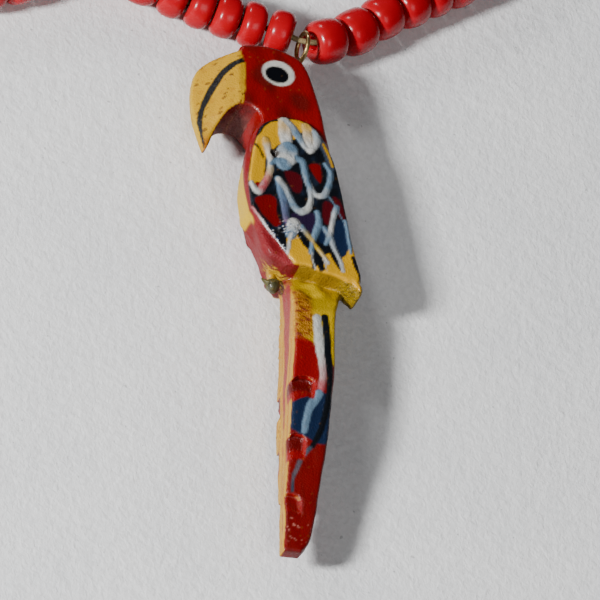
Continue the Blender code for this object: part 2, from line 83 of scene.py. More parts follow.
def area_light(name, direction, distance, size, power):
    """A square light that shines on the bird from a direction, in the world's axes."""
    data = bpy.data.lights.new(name, "AREA")
    data.energy = power
    data.size = size
    light = bpy.data.objects.new(name, data)
    away = Vector(direction).normalized()
    light.location = Vector(from_head(VIEW_CENTRE)) + away * distance
    light.rotation_mode = "QUATERNION"
    light.rotation_quaternion = away.to_track_quat("Z", "Y")
    bpy.context.scene.collection.objects.link(light)


# Each light: its name, the direction it shines from, its distance and size in metres, its power.
LIGHTS = (
    ("key_light", (-0.80, -0.35, 0.50), 0.9, 0.13, 17.0),
    ("fill_light", (0.1, -0.65, 0.75), 1.0, 0.5, 2.5),
    ("top_light", (-0.5, 0.78, 0.5), 0.9, 0.12, 1.8),
)
WORLD_COLOUR = (0.93, 0.95, 1.0, 1.0)
WORLD_STRENGTH = 0.07


def make_lights():
    for light in LIGHTS:
        area_light(*light)
    world = bpy.data.worlds.new("studio")
    world.use_nodes = True
    background = world.node_tree.nodes["Background"]
    background.inputs["Color"].default_value = WORLD_COLOUR
    background.inputs["Strength"].default_value = WORLD_STRENGTH
    bpy.context.scene.world = world


# Mesh helpers -------------------------------------------------------------------------------


def add_mesh(name, points, faces, smooth=True):
    """A mesh object from points in metres and faces as index rows."""
    mesh = bpy.data.meshes.new(name)
    mesh.from_pydata([tuple(p) for p in points], [], [tuple(int(i) for i in f) for f in faces])
    mesh.update()
    if smooth:
        mesh.shade_smooth()
    made = bpy.data.objects.new(name, mesh)
    bpy.context.scene.collection.objects.link(made)
    return made


def fit(piece, finish, node, body):
    """Gives a piece its finish, and says which CAD node it replaces and what it rides on."""
    piece.data.materials.append(finish)
    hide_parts(node)
    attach(piece, body)


def ring_faces(count, sides, first=0, looped=False):
    """Quads between rings of points, and a cap at each end unless the rings loop round."""
    number = np.arange(count * sides).reshape(count, sides) + first
    after = np.roll(number, -1, axis=0) if looped else number[1:]
    faces = []
    for ring, following in zip(number, after):
        faces.extend(zip(ring, following, np.roll(following, -1), np.roll(ring, -1)))
    if not looped:
        faces.append(tuple(number[0]))
        faces.append(tuple(number[-1][::-1]))
    return faces


def set_values(obj, name, values):
    """Stores one number for each point."""
    layer = obj.data.attributes.new(name, "FLOAT", "POINT")
    layer.data.foreach_set("value", np.asarray(values, np.float32))


def set_colours(obj, name, colours):
    layer = obj.data.attributes.new(name, "FLOAT_COLOR", "POINT")
    rgba = np.ones((len(colours), 4), np.float32)
    rgba[:, :3] = colours
    layer.data.foreach_set("color", rgba.ravel())


def smooth_line(points, closed=False, steps=8):
    """A Catmull-Rom curve through the points, as a dense polyline."""
    points = [np.asarray(p, float) for p in points]
    if closed:
        knots = [points[-1], *points, points[0], points[1]]
    else:
        knots = [2 * points[0] - points[1], *points, 2 * points[-1] - points[-2]]
    dense = []
    for before, start, end, after in zip(knots, knots[1:], knots[2:], knots[3:]):
        for t in np.arange(steps) / steps:
            bend = 2 * before - 5 * start + 4 * end - after
            twist = 3 * start - before - 3 * end + after
            dense.append(0.5 * (2 * start + (end - before) * t + bend * t**2 + twist * t**3))
    if not closed:
        dense.append(points[-1])
    return np.array(dense)


SHARP = "sharp"


def smooth_outline(outline, steps=6):
    """A closed outline of (x, y) points, smooth between its corners, which are (x, y, SHARP)."""
    start = next(i for i, point in enumerate(outline) if SHARP in point[2:])
    round_again = [*outline[start:], *outline[:start], outline[start]]
    dense, stretch = [], [round_again[0][:2]]
    for point in round_again[1:]:
        stretch.append(point[:2])
        if SHARP in point[2:]:
            dense.extend(smooth_line(stretch, steps=steps)[:-1])
            stretch = [point[:2]]
    return np.array(dense)


def distance_to_line(x, y, line, closed=False):
    """The distance from each place to a polyline."""
    ends = np.vstack([line, line[:1]]) if closed else line
    nearest = np.full(x.shape, np.inf)
    for (ax, ay), (bx, by) in zip(ends, ends[1:]):
        dx, dy = bx - ax, by - ay
        along = ((x - ax) * dx + (y - ay) * dy) / (dx * dx + dy * dy + 1e-12)
        along = np.clip(along, 0.0, 1.0)
        gap = (x - ax - along * dx) ** 2 + (y - ay - along * dy) ** 2
        np.minimum(nearest, gap, out=nearest)
    return np.sqrt(nearest)


def distance_to_outline(x, y, line):
    """The distance to a closed outline, negative inside it."""
    inside = np.zeros(x.shape, bool)
    for (ax, ay), (bx, by) in zip(line, np.roll(line, -1, axis=0)):
        if ay != by:
            crosses = (ay > y) != (by > y)
            inside ^= crosses & (x < (bx - ax) * (y - ay) / (by - ay) + ax)
    gap = distance_to_line(x, y, line, closed=True)
    return np.where(inside, -gap, gap)


def surface_nets(field, low, step):
    """Points and outward quads of a sampled field's zero surface. It is negative inside."""
    inside = field < 0
    shape = np.array(field.shape)
    count = np.zeros(shape - 1, int)
    corners = [np.array((i, j, k)) for i in (0, 1) for j in (0, 1) for k in (0, 1)]
    for i, j, k in corners:
        count += inside[i : shape[0] - 1 + i, j : shape[1] - 1 + j, k : shape[2] - 1 + k]
    mixed = (count > 0) & (count < 8)
    number = np.full(shape - 1, -1)
    number[mixed] = np.arange(mixed.sum())
    found = np.argwhere(mixed)
    total, hits = np.zeros((len(found), 3)), np.zeros(len(found))
    for a in corners:
        for axis in range(3):
            if a[axis]:
                continue
            b = a + np.eye(3, dtype=int)[axis]
            fa = field[tuple((found + a).T)]
            fb = field[tuple((found + b).T)]
            cross = (fa < 0) != (fb < 0)
            along = np.where(cross, fa / np.where(cross, fa - fb, 1.0), 0.0)
            total += cross[:, None] * (a + along[:, None] * (b - a))
            hits += cross
    points = low + step * (found + total / hits[:, None])
    quads = []
    for axis in range(3):
        u, v = np.eye(3, dtype=int)[(axis + 1) % 3], np.eye(3, dtype=int)[(axis + 2) % 3]
        ahead = [slice(None)] * 3
        behind = [slice(None)] * 3
        ahead[axis], behind[axis] = slice(1, None), slice(None, -1)
        change = np.argwhere(inside[tuple(ahead)] != inside[tuple(behind)])
        change = change[(change @ u > 0) & (change @ v > 0)]
        rows = [number[tuple((change - shift).T)] for shift in (u + v, v, 0 * u, u)]
        quad = np.stack(rows, axis=1)
        outward = inside[tuple(change.T)]
        quads.append(np.where(outward[:, None], quad, quad[:, ::-1]))
    return points, np.vstack(quads)


def ripple(x, y, z=0.0, scale=1.0, seed=0.0):
    """A smooth, fixed unevenness between about -1 and 1, with features about scale mm across."""
    total = 0.0
    for n in range(5):
        turn = seed * 1.7 + n * 2.4
        a, b, c = math.cos(turn), math.sin(turn), math.sin(turn * 1.3 + 1.0)
        wave = (1.0 + 0.37 * n) / scale * 1.9
        total = total + np.sin(wave * (a * x + b * y + c * z) + 5.1 * n + seed * 3.3)
    return total / 3.2


def sweep(name, path, radius, sides):
    """A tube in metres along a path in mm. radius is a function of (index, angles), in mm."""
    path = np.asarray(path, float)
    along = np.gradient(path, axis=0)
    along /= np.linalg.norm(along, axis=1)[:, None]
    side = np.cross(along[0], (0.0, 0.0, 1.0))
    if np.linalg.norm(side) < 0.1:
        side = np.cross(along[0], (0.0, 1.0, 0.0))
    angles = np.arange(sides) * math.tau / sides
    points = []
    for i, (middle, forward) in enumerate(zip(path, along)):
        side = side - (side @ forward) * forward
        side /= np.linalg.norm(side)
        up = np.cross(side, forward)
        reach = radius(i, angles)[:, None]
        ring = np.cos(angles)[:, None] * side + np.sin(angles)[:, None] * up
        points.append(middle + reach * ring)
    return add_mesh(name, from_head(np.vstack(points)), ring_faces(len(path), sides))


def turned(name, profile, sides, dent=None):
    """A closed (radius, z) loop in mm turned about local Z, in metres. It runs down its outer
    side. dent(radius, z, angle) gives each point's radius."""
    angles = np.arange(sides) * math.tau / sides
    rings = []
    for radius, z in profile:
        size = np.full(sides, radius) if dent is None else dent(radius, z, angles)
        rings.append(np.stack([size * np.cos(angles), size * np.sin(angles), np.full(sides, z)], 1))
    return add_mesh(name, np.vstack(rings) * MM, ring_faces(len(profile), sides, looped=True))


# Materials ----------------------------------------------------------------------------------

COAT_ROUGHNESS = 0.08
MIX_SOCKETS = (0, 6, 7)  # a colour Mix node's factor and its two colours
MIX_RESULT = 2


class Finish:
    """A material's node tree, with short names for the nodes that most finishes use."""

    def __init__(self, name, roughness=0.5, metallic=0.0, coat=0.0, specular=0.5):
        self.material = bpy.data.materials.new(name)
        self.material.use_nodes = True
        self.tree = self.material.node_tree
        self.shader = self.tree.nodes["Principled BSDF"]
        self.shader.inputs["Roughness"].default_value = roughness
        self.shader.inputs["Metallic"].default_value = metallic
        self.shader.inputs["Coat Weight"].default_value = coat
        self.shader.inputs["Coat Roughness"].default_value = COAT_ROUGHNESS
        self.shader.inputs["Specular IOR Level"].default_value = specular
        self.place = self.node("ShaderNodeTexCoord").outputs["Object"]

    def node(self, kind, **settings):
        made = self.tree.nodes.new(kind)
        for key, value in settings.items():
            setattr(made, key, value)
        return made

    def link(self, source, target):
        self.tree.links.new(source, target)

    def plug(self, source, socket):
        """Feeds a socket from a number, a colour or another node."""
        if isinstance(source, (int, float)):
            socket.default_value = source
        elif isinstance(source, tuple):
            socket.default_value = (*source, 1.0)
        else:
            self.link(source, socket)

    def noise(self, scale, detail=4.0, stretch=(1.0, 1.0, 1.0), distortion=0.0):
        mapping = self.node("ShaderNodeMapping")
        mapping.inputs["Scale"].default_value = stretch
        self.link(self.place, mapping.inputs["Vector"])
        made = self.node("ShaderNodeTexNoise")
        made.inputs["Scale"].default_value = scale
        made.inputs["Detail"].default_value = detail
        made.inputs["Distortion"].default_value = distortion
        self.link(mapping.outputs["Vector"], made.inputs["Vector"])
        return made.outputs["Fac"]

    def ramp(self, value, *stops):
        made = self.node("ShaderNodeValToRGB")
        elements = made.color_ramp.elements
        while len(elements) < len(stops):
            elements.new(0.5)
        for element, (position, colour) in zip(elements, stops):
            element.position = position
            element.color = (*colour, 1.0) if len(colour) == 3 else colour
        self.link(value, made.inputs["Fac"])
        return made.outputs["Color"]

    def grey(self, value, low, high, at=(0.3, 0.7)):
        return self.ramp(value, (at[0], (low,) * 3), (at[1], (high,) * 3))

    def mix(self, first, second, amount, blend="MIX"):
        made = self.node("ShaderNodeMix", data_type="RGBA", blend_type=blend)
        for source, socket in zip((amount, first, second), MIX_SOCKETS):
            self.plug(source, made.inputs[socket])
        return made.outputs[MIX_RESULT]

    def math(self, operation, first, second):
        made = self.node("ShaderNodeMath", operation=operation)
        for source, socket in zip((first, second), made.inputs):
            self.plug(source, socket)
        return made.outputs[0]

    def attribute(self, name, output="Fac"):
        return self.node("ShaderNodeAttribute", attribute_name=name).outputs[output]

    def bump(self, *layers):
        """Each layer is (height, strength, distance in metres)."""
        normal = None
        for height, strength, distance in layers:
            made = self.node("ShaderNodeBump")
            made.inputs["Strength"].default_value = strength
            made.inputs["Distance"].default_value = distance
            self.link(height, made.inputs["Height"])
            if normal is not None:
                self.link(normal, made.inputs["Normal"])
            normal = made.outputs["Normal"]
        self.link(normal, self.shader.inputs["Normal"])

    def set(self, socket, source):
        self.link(source, self.shader.inputs[socket])


def painted_wood():
    """Brushed gloss paint. The colour, gloss and roughness of each point come from the painting."""
    finish = Finish("painted_wood", coat=0.05, specular=0.3)
    colour = finish.attribute("paint", "Color")
    streaks = finish.noise(900.0, 3.0, (1.0, 0.16, 1.0))
    specks = finish.noise(3200.0, 2.0)
    mottled = finish.mix(colour, finish.grey(streaks, 0.72, 1.0), 0.35, "MULTIPLY")
    mottled = finish.mix(mottled, finish.grey(specks, 0.8, 1.0, (0.35, 0.6)), 0.3, "MULTIPLY")
    finish.set("Base Color", mottled)
    dull = finish.math("MULTIPLY", finish.grey(streaks, 0.9, 1.2), finish.attribute("dull"))
    finish.set("Roughness", dull)
    grain = finish.math("MULTIPLY", specks, finish.attribute("rough"))
    finish.bump((streaks, 0.25, 0.00012), (grain, 0.9, 0.0004))
    return finish.material


def red_lacquer():
    finish = Finish("red_lacquer", roughness=0.3, coat=0.06, specular=0.22)
    cloud = finish.noise(160.0, 3.0)
    fine = finish.noise(1400.0, 3.0)
    colour = finish.ramp(cloud, (0.3, (0.28, 0.0006, 0.005)), (0.7, (0.40, 0.001, 0.009)))
    colour = finish.mix(colour, (0.36, 0.05, 0.04), finish.attribute("wear"))
    finish.set("Base Color", colour)
    finish.set("Roughness", finish.grey(fine, 0.17, 0.3))
    finish.bump((cloud, 0.15, 0.0004), (fine, 0.05, 0.0001))
    return finish.material


def aged_brass():
    finish = Finish("aged_brass", metallic=1.0)
    patina = finish.noise(420.0, 5.0)
    scratches = finish.noise(2500.0, 2.0, (1.0, 0.2, 1.0))
    colour = finish.ramp(
        patina, (0.35, (0.16, 0.11, 0.045)), (0.5, (0.42, 0.30, 0.12)), (0.72, (0.62, 0.47, 0.22))
    )
    finish.set("Base Color", colour)
    finish.set("Roughness", finish.grey(patina, 0.5, 0.26))
    finish.bump((scratches, 0.2, 0.00006), (patina, 0.25, 0.0001))
    return finish.material


def twisted_cotton():
    finish = Finish("tan_cord", specular=0.3)
    fibres = finish.noise(5200.0, 3.0, (1.0, 1.0, 0.4))
    stains = finish.noise(240.0, 3.0)
    colour = finish.ramp(fibres, (0.3, (0.13, 0.095, 0.04)), (0.75, (0.40, 0.31, 0.16)))
    colour = finish.mix(colour, finish.grey(stains, 0.65, 1.0), 0.6, "MULTIPLY")
    finish.set("Base Color", colour)
    finish.set("Roughness", finish.grey(fibres, 0.95, 0.7))
    finish.bump((fibres, 0.7, 0.0001))
    return finish.material


def olive_paint():
    finish = Finish("olive_paint", coat=0.15)
    cloud = finish.noise(900.0, 4.0)
    fine = finish.noise(4200.0, 3.0)
    colour = finish.ramp(
        cloud, (0.3, (0.014, 0.014, 0.004)), (0.55, (0.042, 0.040, 0.010)), (0.75, (0.13, 0.10, 0.025))
    )
    colour = finish.mix(colour, finish.attribute("paint", "Color"), finish.attribute("wood"))
    finish.set("Base Color", colour)
    finish.set("Roughness", finish.grey(fine, 0.35, 0.6))
    finish.bump((cloud, 0.5, 0.0003), (fine, 0.3, 0.0001))
    return finish.material


def paper():
    finish = Finish("paper", roughness=0.9, specular=0.2)
    blotch = finish.noise(45.0, 6.0)
    fibre = finish.noise(1300.0, 6.0, (1.0, 0.7, 1.0), 0.6)
    dimple = finish.noise(420.0, 3.0)
    specks = finish.noise(900.0, 1.0)
    colour = finish.ramp(blotch, (0.3, (0.85, 0.86, 0.87)), (0.7, (0.94, 0.94, 0.935)))
    colour = finish.mix(colour, finish.grey(fibre, 0.84, 1.0), 0.8, "MULTIPLY")
    colour = finish.mix(colour, finish.grey(specks, 0.35, 1.0, (0.21, 0.25)), 0.5, "MULTIPLY")
    finish.set("Base Color", colour)
    finish.bump((dimple, 0.22, 0.0010), (fibre, 0.3, 0.0005))
    return finish.material


# The strand, as in the part's own source ----------------------------------------------------

ROUTE = (
    (-6.0, 142.0, 4.0), (-22.0, 139.5, 4.0), (-40.0, 132.0, 4.0), (-56.0, 119.0, 4.0),
    (-69.0, 101.0, 4.0), (-78.0, 80.0, 4.0), (-83.0, 58.0, 4.0), (-84.5, 38.0, 4.0),
    (-82.5, 23.0, 4.0), (-78.5, 13.5, 4.0), (-72.0, 6.5, 4.0), (-64.5, 3.0, 4.0),
    (-56.0, 3.4, 4.0), (-48.0, 6.6, 4.0), (-40.0, 11.0, 4.0), (-32.0, 13.6, 4.0),
    (-24.0, 13.2, 4.0), (-16.0, 11.2, 4.0), (-8.0, 9.6, 4.0), (-4.0, 9.0, 4.1), (0.2, 8.3, 4.6),
    (3.8, 7.0, 5.3), (7.5, 8.1, 4.7), (13.2, 11.8, 4.0), (18.1, 16.0, 4.0), (22.6, 19.6, 4.0),
    (30.0, 25.0, 4.0), (38.5, 32.0, 4.0), (46.0, 41.5, 4.0), (50.5, 53.0, 4.0), (52.5, 67.0, 4.0),
    (52.5, 83.0, 4.0), (49.5, 99.0, 4.0), (42.5, 114.0, 4.0), (32.0, 127.0, 4.0),
    (20.0, 136.5, 4.0), (5.5, 142.0, 4.0),
)
EYE_ROUTE_INDEX = 21
BEAD_FACE = 5.2
BEAD_GAP = 0.2
EYE_GAP = 1.8
CLASP_GAP = 0.8
SEPARATE_PER_SIDE = 12
BEADS_PER_RUN = 14
LEFT_LENGTHS = (4.3, 4.1, 4.4, 4.2, 4.5)
RIGHT_LENGTHS = (5.9, 6.2, 5.7, 5.6)
OTHER_LENGTHS = (5.4, 4.7, 5.8, 5.1, 4.5, 5.6, 4.9)
CORD_DIAMETER = 1.0
CORD_POINTS = 900
STRANDS = 3
TWIST_PITCH = 2.6


class Strand:
    """The cord's route, read by its length from the clasp socket, in mm."""

    def __init__(self):
        self.points = smooth_line(ROUTE, steps=24)
        steps = np.linalg.norm(np.diff(self.points, axis=0), axis=1)
        self.along = np.concatenate([[0.0], np.cumsum(steps)])
        self.length = self.along[-1]
        knot = np.array(ROUTE[EYE_ROUTE_INDEX])
        self.eye = self.along[np.linalg.norm(self.points - knot, axis=1).argmin()]

    def place(self, s):
        return np.array([np.interp(s, self.along, column) for column in self.points.T])

    def heading(self, s):
        run = self.place(s + 1.0) - self.place(s - 1.0)
        return run / np.linalg.norm(run)

    def next_bead(self, s, length, next_length, side):
        gap = 0.0
        for _ in range(4):
            found = s + side * ((length + next_length) / 2 + BEAD_GAP + gap)
            turn = math.acos(min(1.0, self.heading(s) @ self.heading(found)))
            gap = turn * BEAD_FACE / 2
        return found

    def bead_places(self, side, first_lengths, limit):
        """(distance along the cord, length) of each bead from the eye to the clasp."""
        found = [(self.eye + side * (EYE_GAP + first_lengths[0] / 2), first_lengths[0])]
        while True:
            count = len(found)
            if count < len(first_lengths):
                length = first_lengths[count]
            else:
                length = OTHER_LENGTHS[count % len(OTHER_LENGTHS)]
            following = self.next_bead(*found[-1], length, side)
            if side * (limit - following) < length / 2 + CLASP_GAP:
                return found
            found.append((following, length))

    def bead_matrix(self, s):
        turn = Vector(self.heading(s)).to_track_quat("Z", "Y").to_matrix().to_4x4()
        return Matrix.Translation(from_head(self.place(s))) @ turn


def make_cord(strand, finish):
    """A cord of three twisted strands, swept round its own line."""
    path = strand.place(np.linspace(0.0, strand.length, CORD_POINTS)).T
    turn = np.linspace(0.0, strand.length, CORD_POINTS) * math.tau / TWIST_PITCH

    def radius(i, angles):
        lobes = np.abs(np.cos(STRANDS * (angles - turn[i]) / 2))
        return CORD_DIAMETER / 2 * (0.84 + 0.16 * lobes)

    cord = sweep("strand_cord_twisted", path, radius, 18)
    fit(cord, finish, "strand_cord", STRAND)


# A bead's half profile from its middle to its bore: (radius, share of the half length).
BEAD_PROFILE = (
    (4.00, 0.00), (3.99, 0.16), (3.95, 0.32), (3.87, 0.48), (3.74, 0.62), (3.53, 0.75),
    (3.24, 0.86), (2.92, 0.94), (2.62, 0.985), (2.30, 1.00), (1.70, 0.995), (1.34, 0.965),
    (1.16, 0.90), (1.10, 0.80),
)
BEAD_SIDES = 56
BEAD_SEED = 7
RIM_WEAR = 0.18  # how far the lacquer is rubbed off a bead's rims


def bead_points(length, rng):
    """One turned bead's rings about local Z in metres, a little uneven as lacquer leaves it."""
    half = length / 2
    upper = [(radius, share * half) for radius, share in BEAD_PROFILE]
    loop = [*reversed(upper), *[(radius, -z) for radius, z in upper[1:]]]
    angles = np.arange(BEAD_SIDES) * math.tau / BEAD_SIDES
    lean, squash = rng.uniform(0, math.tau, 2)
    size = rng.uniform(0.965, 1.0)
    rings = []
    for radius, z in loop:
        outer = np.clip((radius - 1.1) / 2.9, 0.0, 1.0)
        uneven = 1.0 - 0.012 * outer * (1.0 + np.cos(2 * angles + squash))
        sag = 0.035 * outer * np.sin(3 * angles + lean + z)
        reach = radius * (1.0 - outer * (1.0 - size)) * uneven + sag - 0.035 * outer
        rings.append(np.stack([reach * np.cos(angles), reach * np.sin(angles), 0 * angles + z], 1))
    return np.array(rings) * MM


def bead_object(name, beads, rng):
    """One object of one or more beads. Each bead is (matrix from bead to object, length)."""
    points, faces, wear = [], [], []
    for matrix, length in beads:
        rings = bead_points(length, rng)
        faces.extend(ring_faces(len(rings), BEAD_SIDES, sum(map(len, points)), looped=True))
        block = rings.reshape(-1, 3)
        turn = np.array(matrix)
        points.append(block @ turn[:3, :3].T + turn[:3, 3])
        share = np.abs(block[:, 2]) / (length * MM / 2)
        out = np.hypot(block[:, 0], block[:, 1]) / MM
        wear.append(RIM_WEAR * np.clip((share - 0.9) * 10, 0.0, 1.0) * np.clip(out - 1.2, 0.0, 1.0))
    made = add_mesh(name, np.vstack(points), faces)
    set_values(made, "wear", np.concatenate(wear))
    return made


def make_beads(strand, finish):
    rng = np.random.default_rng(BEAD_SEED)
    sides = (("left", -1, LEFT_LENGTHS, 0.0), ("right", 1, RIGHT_LENGTHS, strand.length))
    for side_name, side, first_lengths, limit in sides:
        places = strand.bead_places(side, first_lengths, limit)
        for number, (s, length) in enumerate(places[:SEPARATE_PER_SIDE], 1):
            node = f"bead_{side_name}_{number:02d}"
            bead = bead_object(node + "_lacquered", [(Matrix.Identity(4), length)], rng)
            bead.matrix_world = strand.bead_matrix(s)
            fit(bead, finish, node, node)
        rest = places[SEPARATE_PER_SIDE:]
        for number, start in enumerate(range(0, len(rest), BEADS_PER_RUN), 1):
            node = f"bead_run_{side_name}_{number}"
            run = [(strand.bead_matrix(s), length) for s, length in rest[start : start + BEADS_PER_RUN]]
            bead = bead_object(node + "_lacquered", run, rng)
            fit(bead, finish, node, STRAND)


# Metal and the foot peg ---------------------------------------------------------------------

EYE_CENTRE = (3.8, 5.62, MIDDLE_Z)
EYE_RADIUS = 2.4
EYE_WIRE = 0.75
EYE_TURN = math.radians(4)
EYE_OPENING = math.radians(9)  # the bent wire stops just short of its own shank
SHANK_DIRECTION = (-0.5, -0.866, 0.0)
SHANK_LENGTH = 11.0
SHANK_DIAMETER = 0.9
THREAD_START = 2.6
THREAD_PITCH = 0.6
PEG_CENTRE = (-1.35, -44.1, MIDDLE_Z)
PEG_RADII = (1.15, 1.35, 1.25)
PEG_DIRECTION = (-0.16, 0.987, 0.0)
PEG_NECK_DIAMETER = 1.2
PEG_NECK_LENGTH = 5.5
SPUR_DIRECTION = (-0.96, 0.26, 0.1)
SPUR_LENGTH = 2.3
CLASP_RADIUS = 3.0
CLASP_CORD_HOLE = 0.85
CLASP_HOLE_DEPTH = 2.2
CORD_IN_CLASP = 1.8
SOCKET_LENGTH = 7.0
PLUG_HEAD_LENGTH = 4.5
STUD_RADIUS = 1.4
STUD_LENGTH = 4.2
FIT_GAP = 0.25


def make_screw_eye(finish):
    """A bent brass wire: nearly a whole turn round the cord, with a blunt end, and a shank."""
    turns = np.linspace(-math.pi / 2, 1.5 * math.pi - EYE_OPENING, 120)
    across = np.array((math.sin(EYE_TURN), 0.0, math.cos(EYE_TURN)))
    ring = np.array(EYE_CENTRE) + EYE_RADIUS * (
        np.cos(turns)[:, None] * across + np.sin(turns)[:, None] * np.array((0.0, 1.0, 0.0))
    )

    def wire(i, angles):
        blunt = 1.0 - 0.45 * max(0.0, (i - 116) / 3) ** 2
        hammered = 0.02 * math.sin(i * 0.9) + 0.012 * math.sin(i * 2.3)
        return np.full(len(angles), EYE_WIRE / 2 * blunt * (1.0 + hammered))

    loop = sweep("screw_eye_ring", ring, wire, 24)
    start = ring[0]
    along = np.linspace(0.0, SHANK_LENGTH, 260)
    path = start + along[:, None] * np.array(SHANK_DIRECTION)

    def threaded(i, angles):
        cut = np.cos(angles - along[i] * math.tau / THREAD_PITCH)
        depth = 0.07 * np.clip((along[i] - THREAD_START) * 3, 0.0, 1.0)
        point = min(1.0, (SHANK_LENGTH - along[i]) / 1.5 + 0.15)
        return (SHANK_DIAMETER / 2 * (0.95 - 0.05 * cut) - depth * (1 - cut) / 2) * point

    shank = sweep("screw_eye_shank", path, threaded, 20)
    for piece in (loop, shank):
        fit(piece, finish, "screw_eye", PENDANT)


def make_foot_peg(finish):
    """The broken stub of the feet: a knobbly lump, a splintered spur and the glued neck."""
    rows, sides = 40, 64
    tilt = np.linspace(0.02, math.pi - 0.02, rows)[:, None]
    turn = (np.arange(sides) * math.tau / sides)[None, :]
    unit = np.stack([np.sin(tilt) * np.cos(turn), np.sin(tilt) * np.sin(turn), np.cos(tilt) + 0 * turn], -1)
    lump = 1.0 + 0.15 * ripple(*np.moveaxis(unit, -1, 0), scale=1.0, seed=2.0)
    lump = lump + 0.03 * ripple(*np.moveaxis(unit, -1, 0), scale=0.3, seed=5.0)
    points = np.array(PEG_CENTRE) + unit * lump[..., None] * np.array(PEG_RADII) * 0.96
    body = add_mesh("foot_peg_lump", from_head(points.reshape(-1, 3)), ring_faces(rows, sides))

    along = np.linspace(0.0, SPUR_LENGTH, 24)
    bend = np.stack([0 * along, 0.05 * along**2, 0.03 * np.sin(along * 3)], 1)
    path = np.array(PEG_CENTRE) + along[:, None] * np.array(SPUR_DIRECTION) + bend

    def splinter(i, angles):
        taper = 0.62 * (1.0 - along[i] / SPUR_LENGTH) ** 0.75 + 0.07
        return taper * (1.0 + 0.16 * np.cos(3 * angles + i * 0.2) + 0.07 * np.cos(7 * angles))

    spur = sweep("foot_peg_spur", path, splinter, 28)
    depth = np.linspace(0.0, PEG_NECK_LENGTH, 40)
    path = np.array(PEG_CENTRE) + depth[:, None] * np.array(PEG_DIRECTION)

    def neck_size(i, angles):
        collar = 0.16 * math.exp(-(((depth[i] - 1.9) / 0.35) ** 2))
        return PEG_NECK_DIAMETER / 2 * (1.0 + 0.04 * np.cos(5 * angles + i)) + collar

    neck = sweep("foot_peg_neck", path, neck_size, 28)
    for piece, tint, amount in ((body, PEG_OLIVE, 0.0), (spur, PEG_WOOD, 0.55), (neck, PEG_GOLD, 0.85)):
        count = len(piece.data.vertices)
        set_colours(piece, "paint", np.tile(srgb(*tint), (count, 1)))
        set_values(piece, "wood", np.full(count, amount))
        fit(piece, finish, "foot_peg", PENDANT)


def make_clasp(strand, finish):
    """The barrel clasp's two halves: knurled barrels, with a threaded stud in a smooth bore."""
    start, end = Vector(from_head(strand.place(0.0))), Vector(from_head(strand.place(strand.length)))
    axis = (end - start).normalized()
    facing = (-axis).to_track_quat("Z", "Y")
    middle = start + axis * (SOCKET_LENGTH - CORD_IN_CLASP) * MM
    bore = STUD_RADIUS + FIT_GAP

    def knurled(radius, z, angles):
        ridge = 0.07 * (np.cos(36 * angles + z * 3) * np.cos(36 * angles - z * 3))
        return radius + np.where(radius > CLASP_RADIUS - 0.12, ridge - 0.07, 0.0)

    grooves = [(CLASP_RADIUS - (0.0 if i % 2 else 0.03), 0.7 + 0.14 * i) for i in range(31)]
    socket_profile = [
        (CLASP_CORD_HOLE, SOCKET_LENGTH),
        (1.5, SOCKET_LENGTH),
        (1.9, SOCKET_LENGTH - 0.12),
        (CLASP_RADIUS - 0.65, SOCKET_LENGTH - 0.55),
        (CLASP_RADIUS - 0.3, SOCKET_LENGTH - 1.05),
        (CLASP_RADIUS - 0.2, SOCKET_LENGTH - 1.6),
        *reversed(grooves),
        (CLASP_RADIUS - 0.2, 0.5),
        (CLASP_RADIUS - 0.2, 0.15),
        (CLASP_RADIUS - 0.35, 0.0),
        (bore, 0.0),
        (bore, SOCKET_LENGTH - CLASP_HOLE_DEPTH - 0.3),
        (CLASP_CORD_HOLE, SOCKET_LENGTH - CLASP_HOLE_DEPTH),
    ]
    threads = [(STUD_RADIUS - (0.0 if i % 2 else 0.14), STUD_LENGTH - 0.35 - 0.2 * i) for i in range(18)]
    head = [(CLASP_RADIUS - (0.0 if i % 2 else 0.03), -0.55 - 0.14 * i) for i in range(16)]
    plug_profile = [
        (0.02, STUD_LENGTH),
        (STUD_RADIUS - 0.35, STUD_LENGTH),
        *threads,
        (STUD_RADIUS - 0.1, 0.0),
        (CLASP_RADIUS - 0.35, 0.0),
        (CLASP_RADIUS - 0.2, -0.15),
        (CLASP_RADIUS - 0.2, -0.45),
        *head,
        (CLASP_RADIUS - 0.2, -2.8),
        (CLASP_RADIUS - 0.35, 1.05 - PLUG_HEAD_LENGTH),
        (CLASP_RADIUS - 0.7, 0.5 - PLUG_HEAD_LENGTH),
        (1.9, 0.1 - PLUG_HEAD_LENGTH),
        (1.5, -PLUG_HEAD_LENGTH),
        (CLASP_CORD_HOLE, -PLUG_HEAD_LENGTH),
        (CLASP_CORD_HOLE, CLASP_HOLE_DEPTH - PLUG_HEAD_LENGTH),
        (0.02, CLASP_HOLE_DEPTH - PLUG_HEAD_LENGTH),
    ]
    halves = (
        ("clasp_socket", STRAND, socket_profile, middle),
        ("clasp_plug", "clasp_plug", plug_profile, middle + axis * FIT_GAP * MM),
    )
    for node, body, profile, place in halves:
        half = turned(node + "_brass", profile, 144, knurled)
        half.data.set_sharp_from_angle(angle=math.radians(40))
        half.location = place
        half.rotation_mode = "QUATERNION"
        half.rotation_quaternion = facing
        fit(half, finish, node, body)


# The carving's shape ------------------------------------------------------------------------

GRID = 0.25
LOW = np.array((-18.2, -99.4, -1.1))
HIGH = np.array((14.2, 2.1, 12.2))
UNDERSIDE_RELIEF = 0.35  # the paint on the side that lies on the table is pressed flatter
BODY_HALF = 5.0
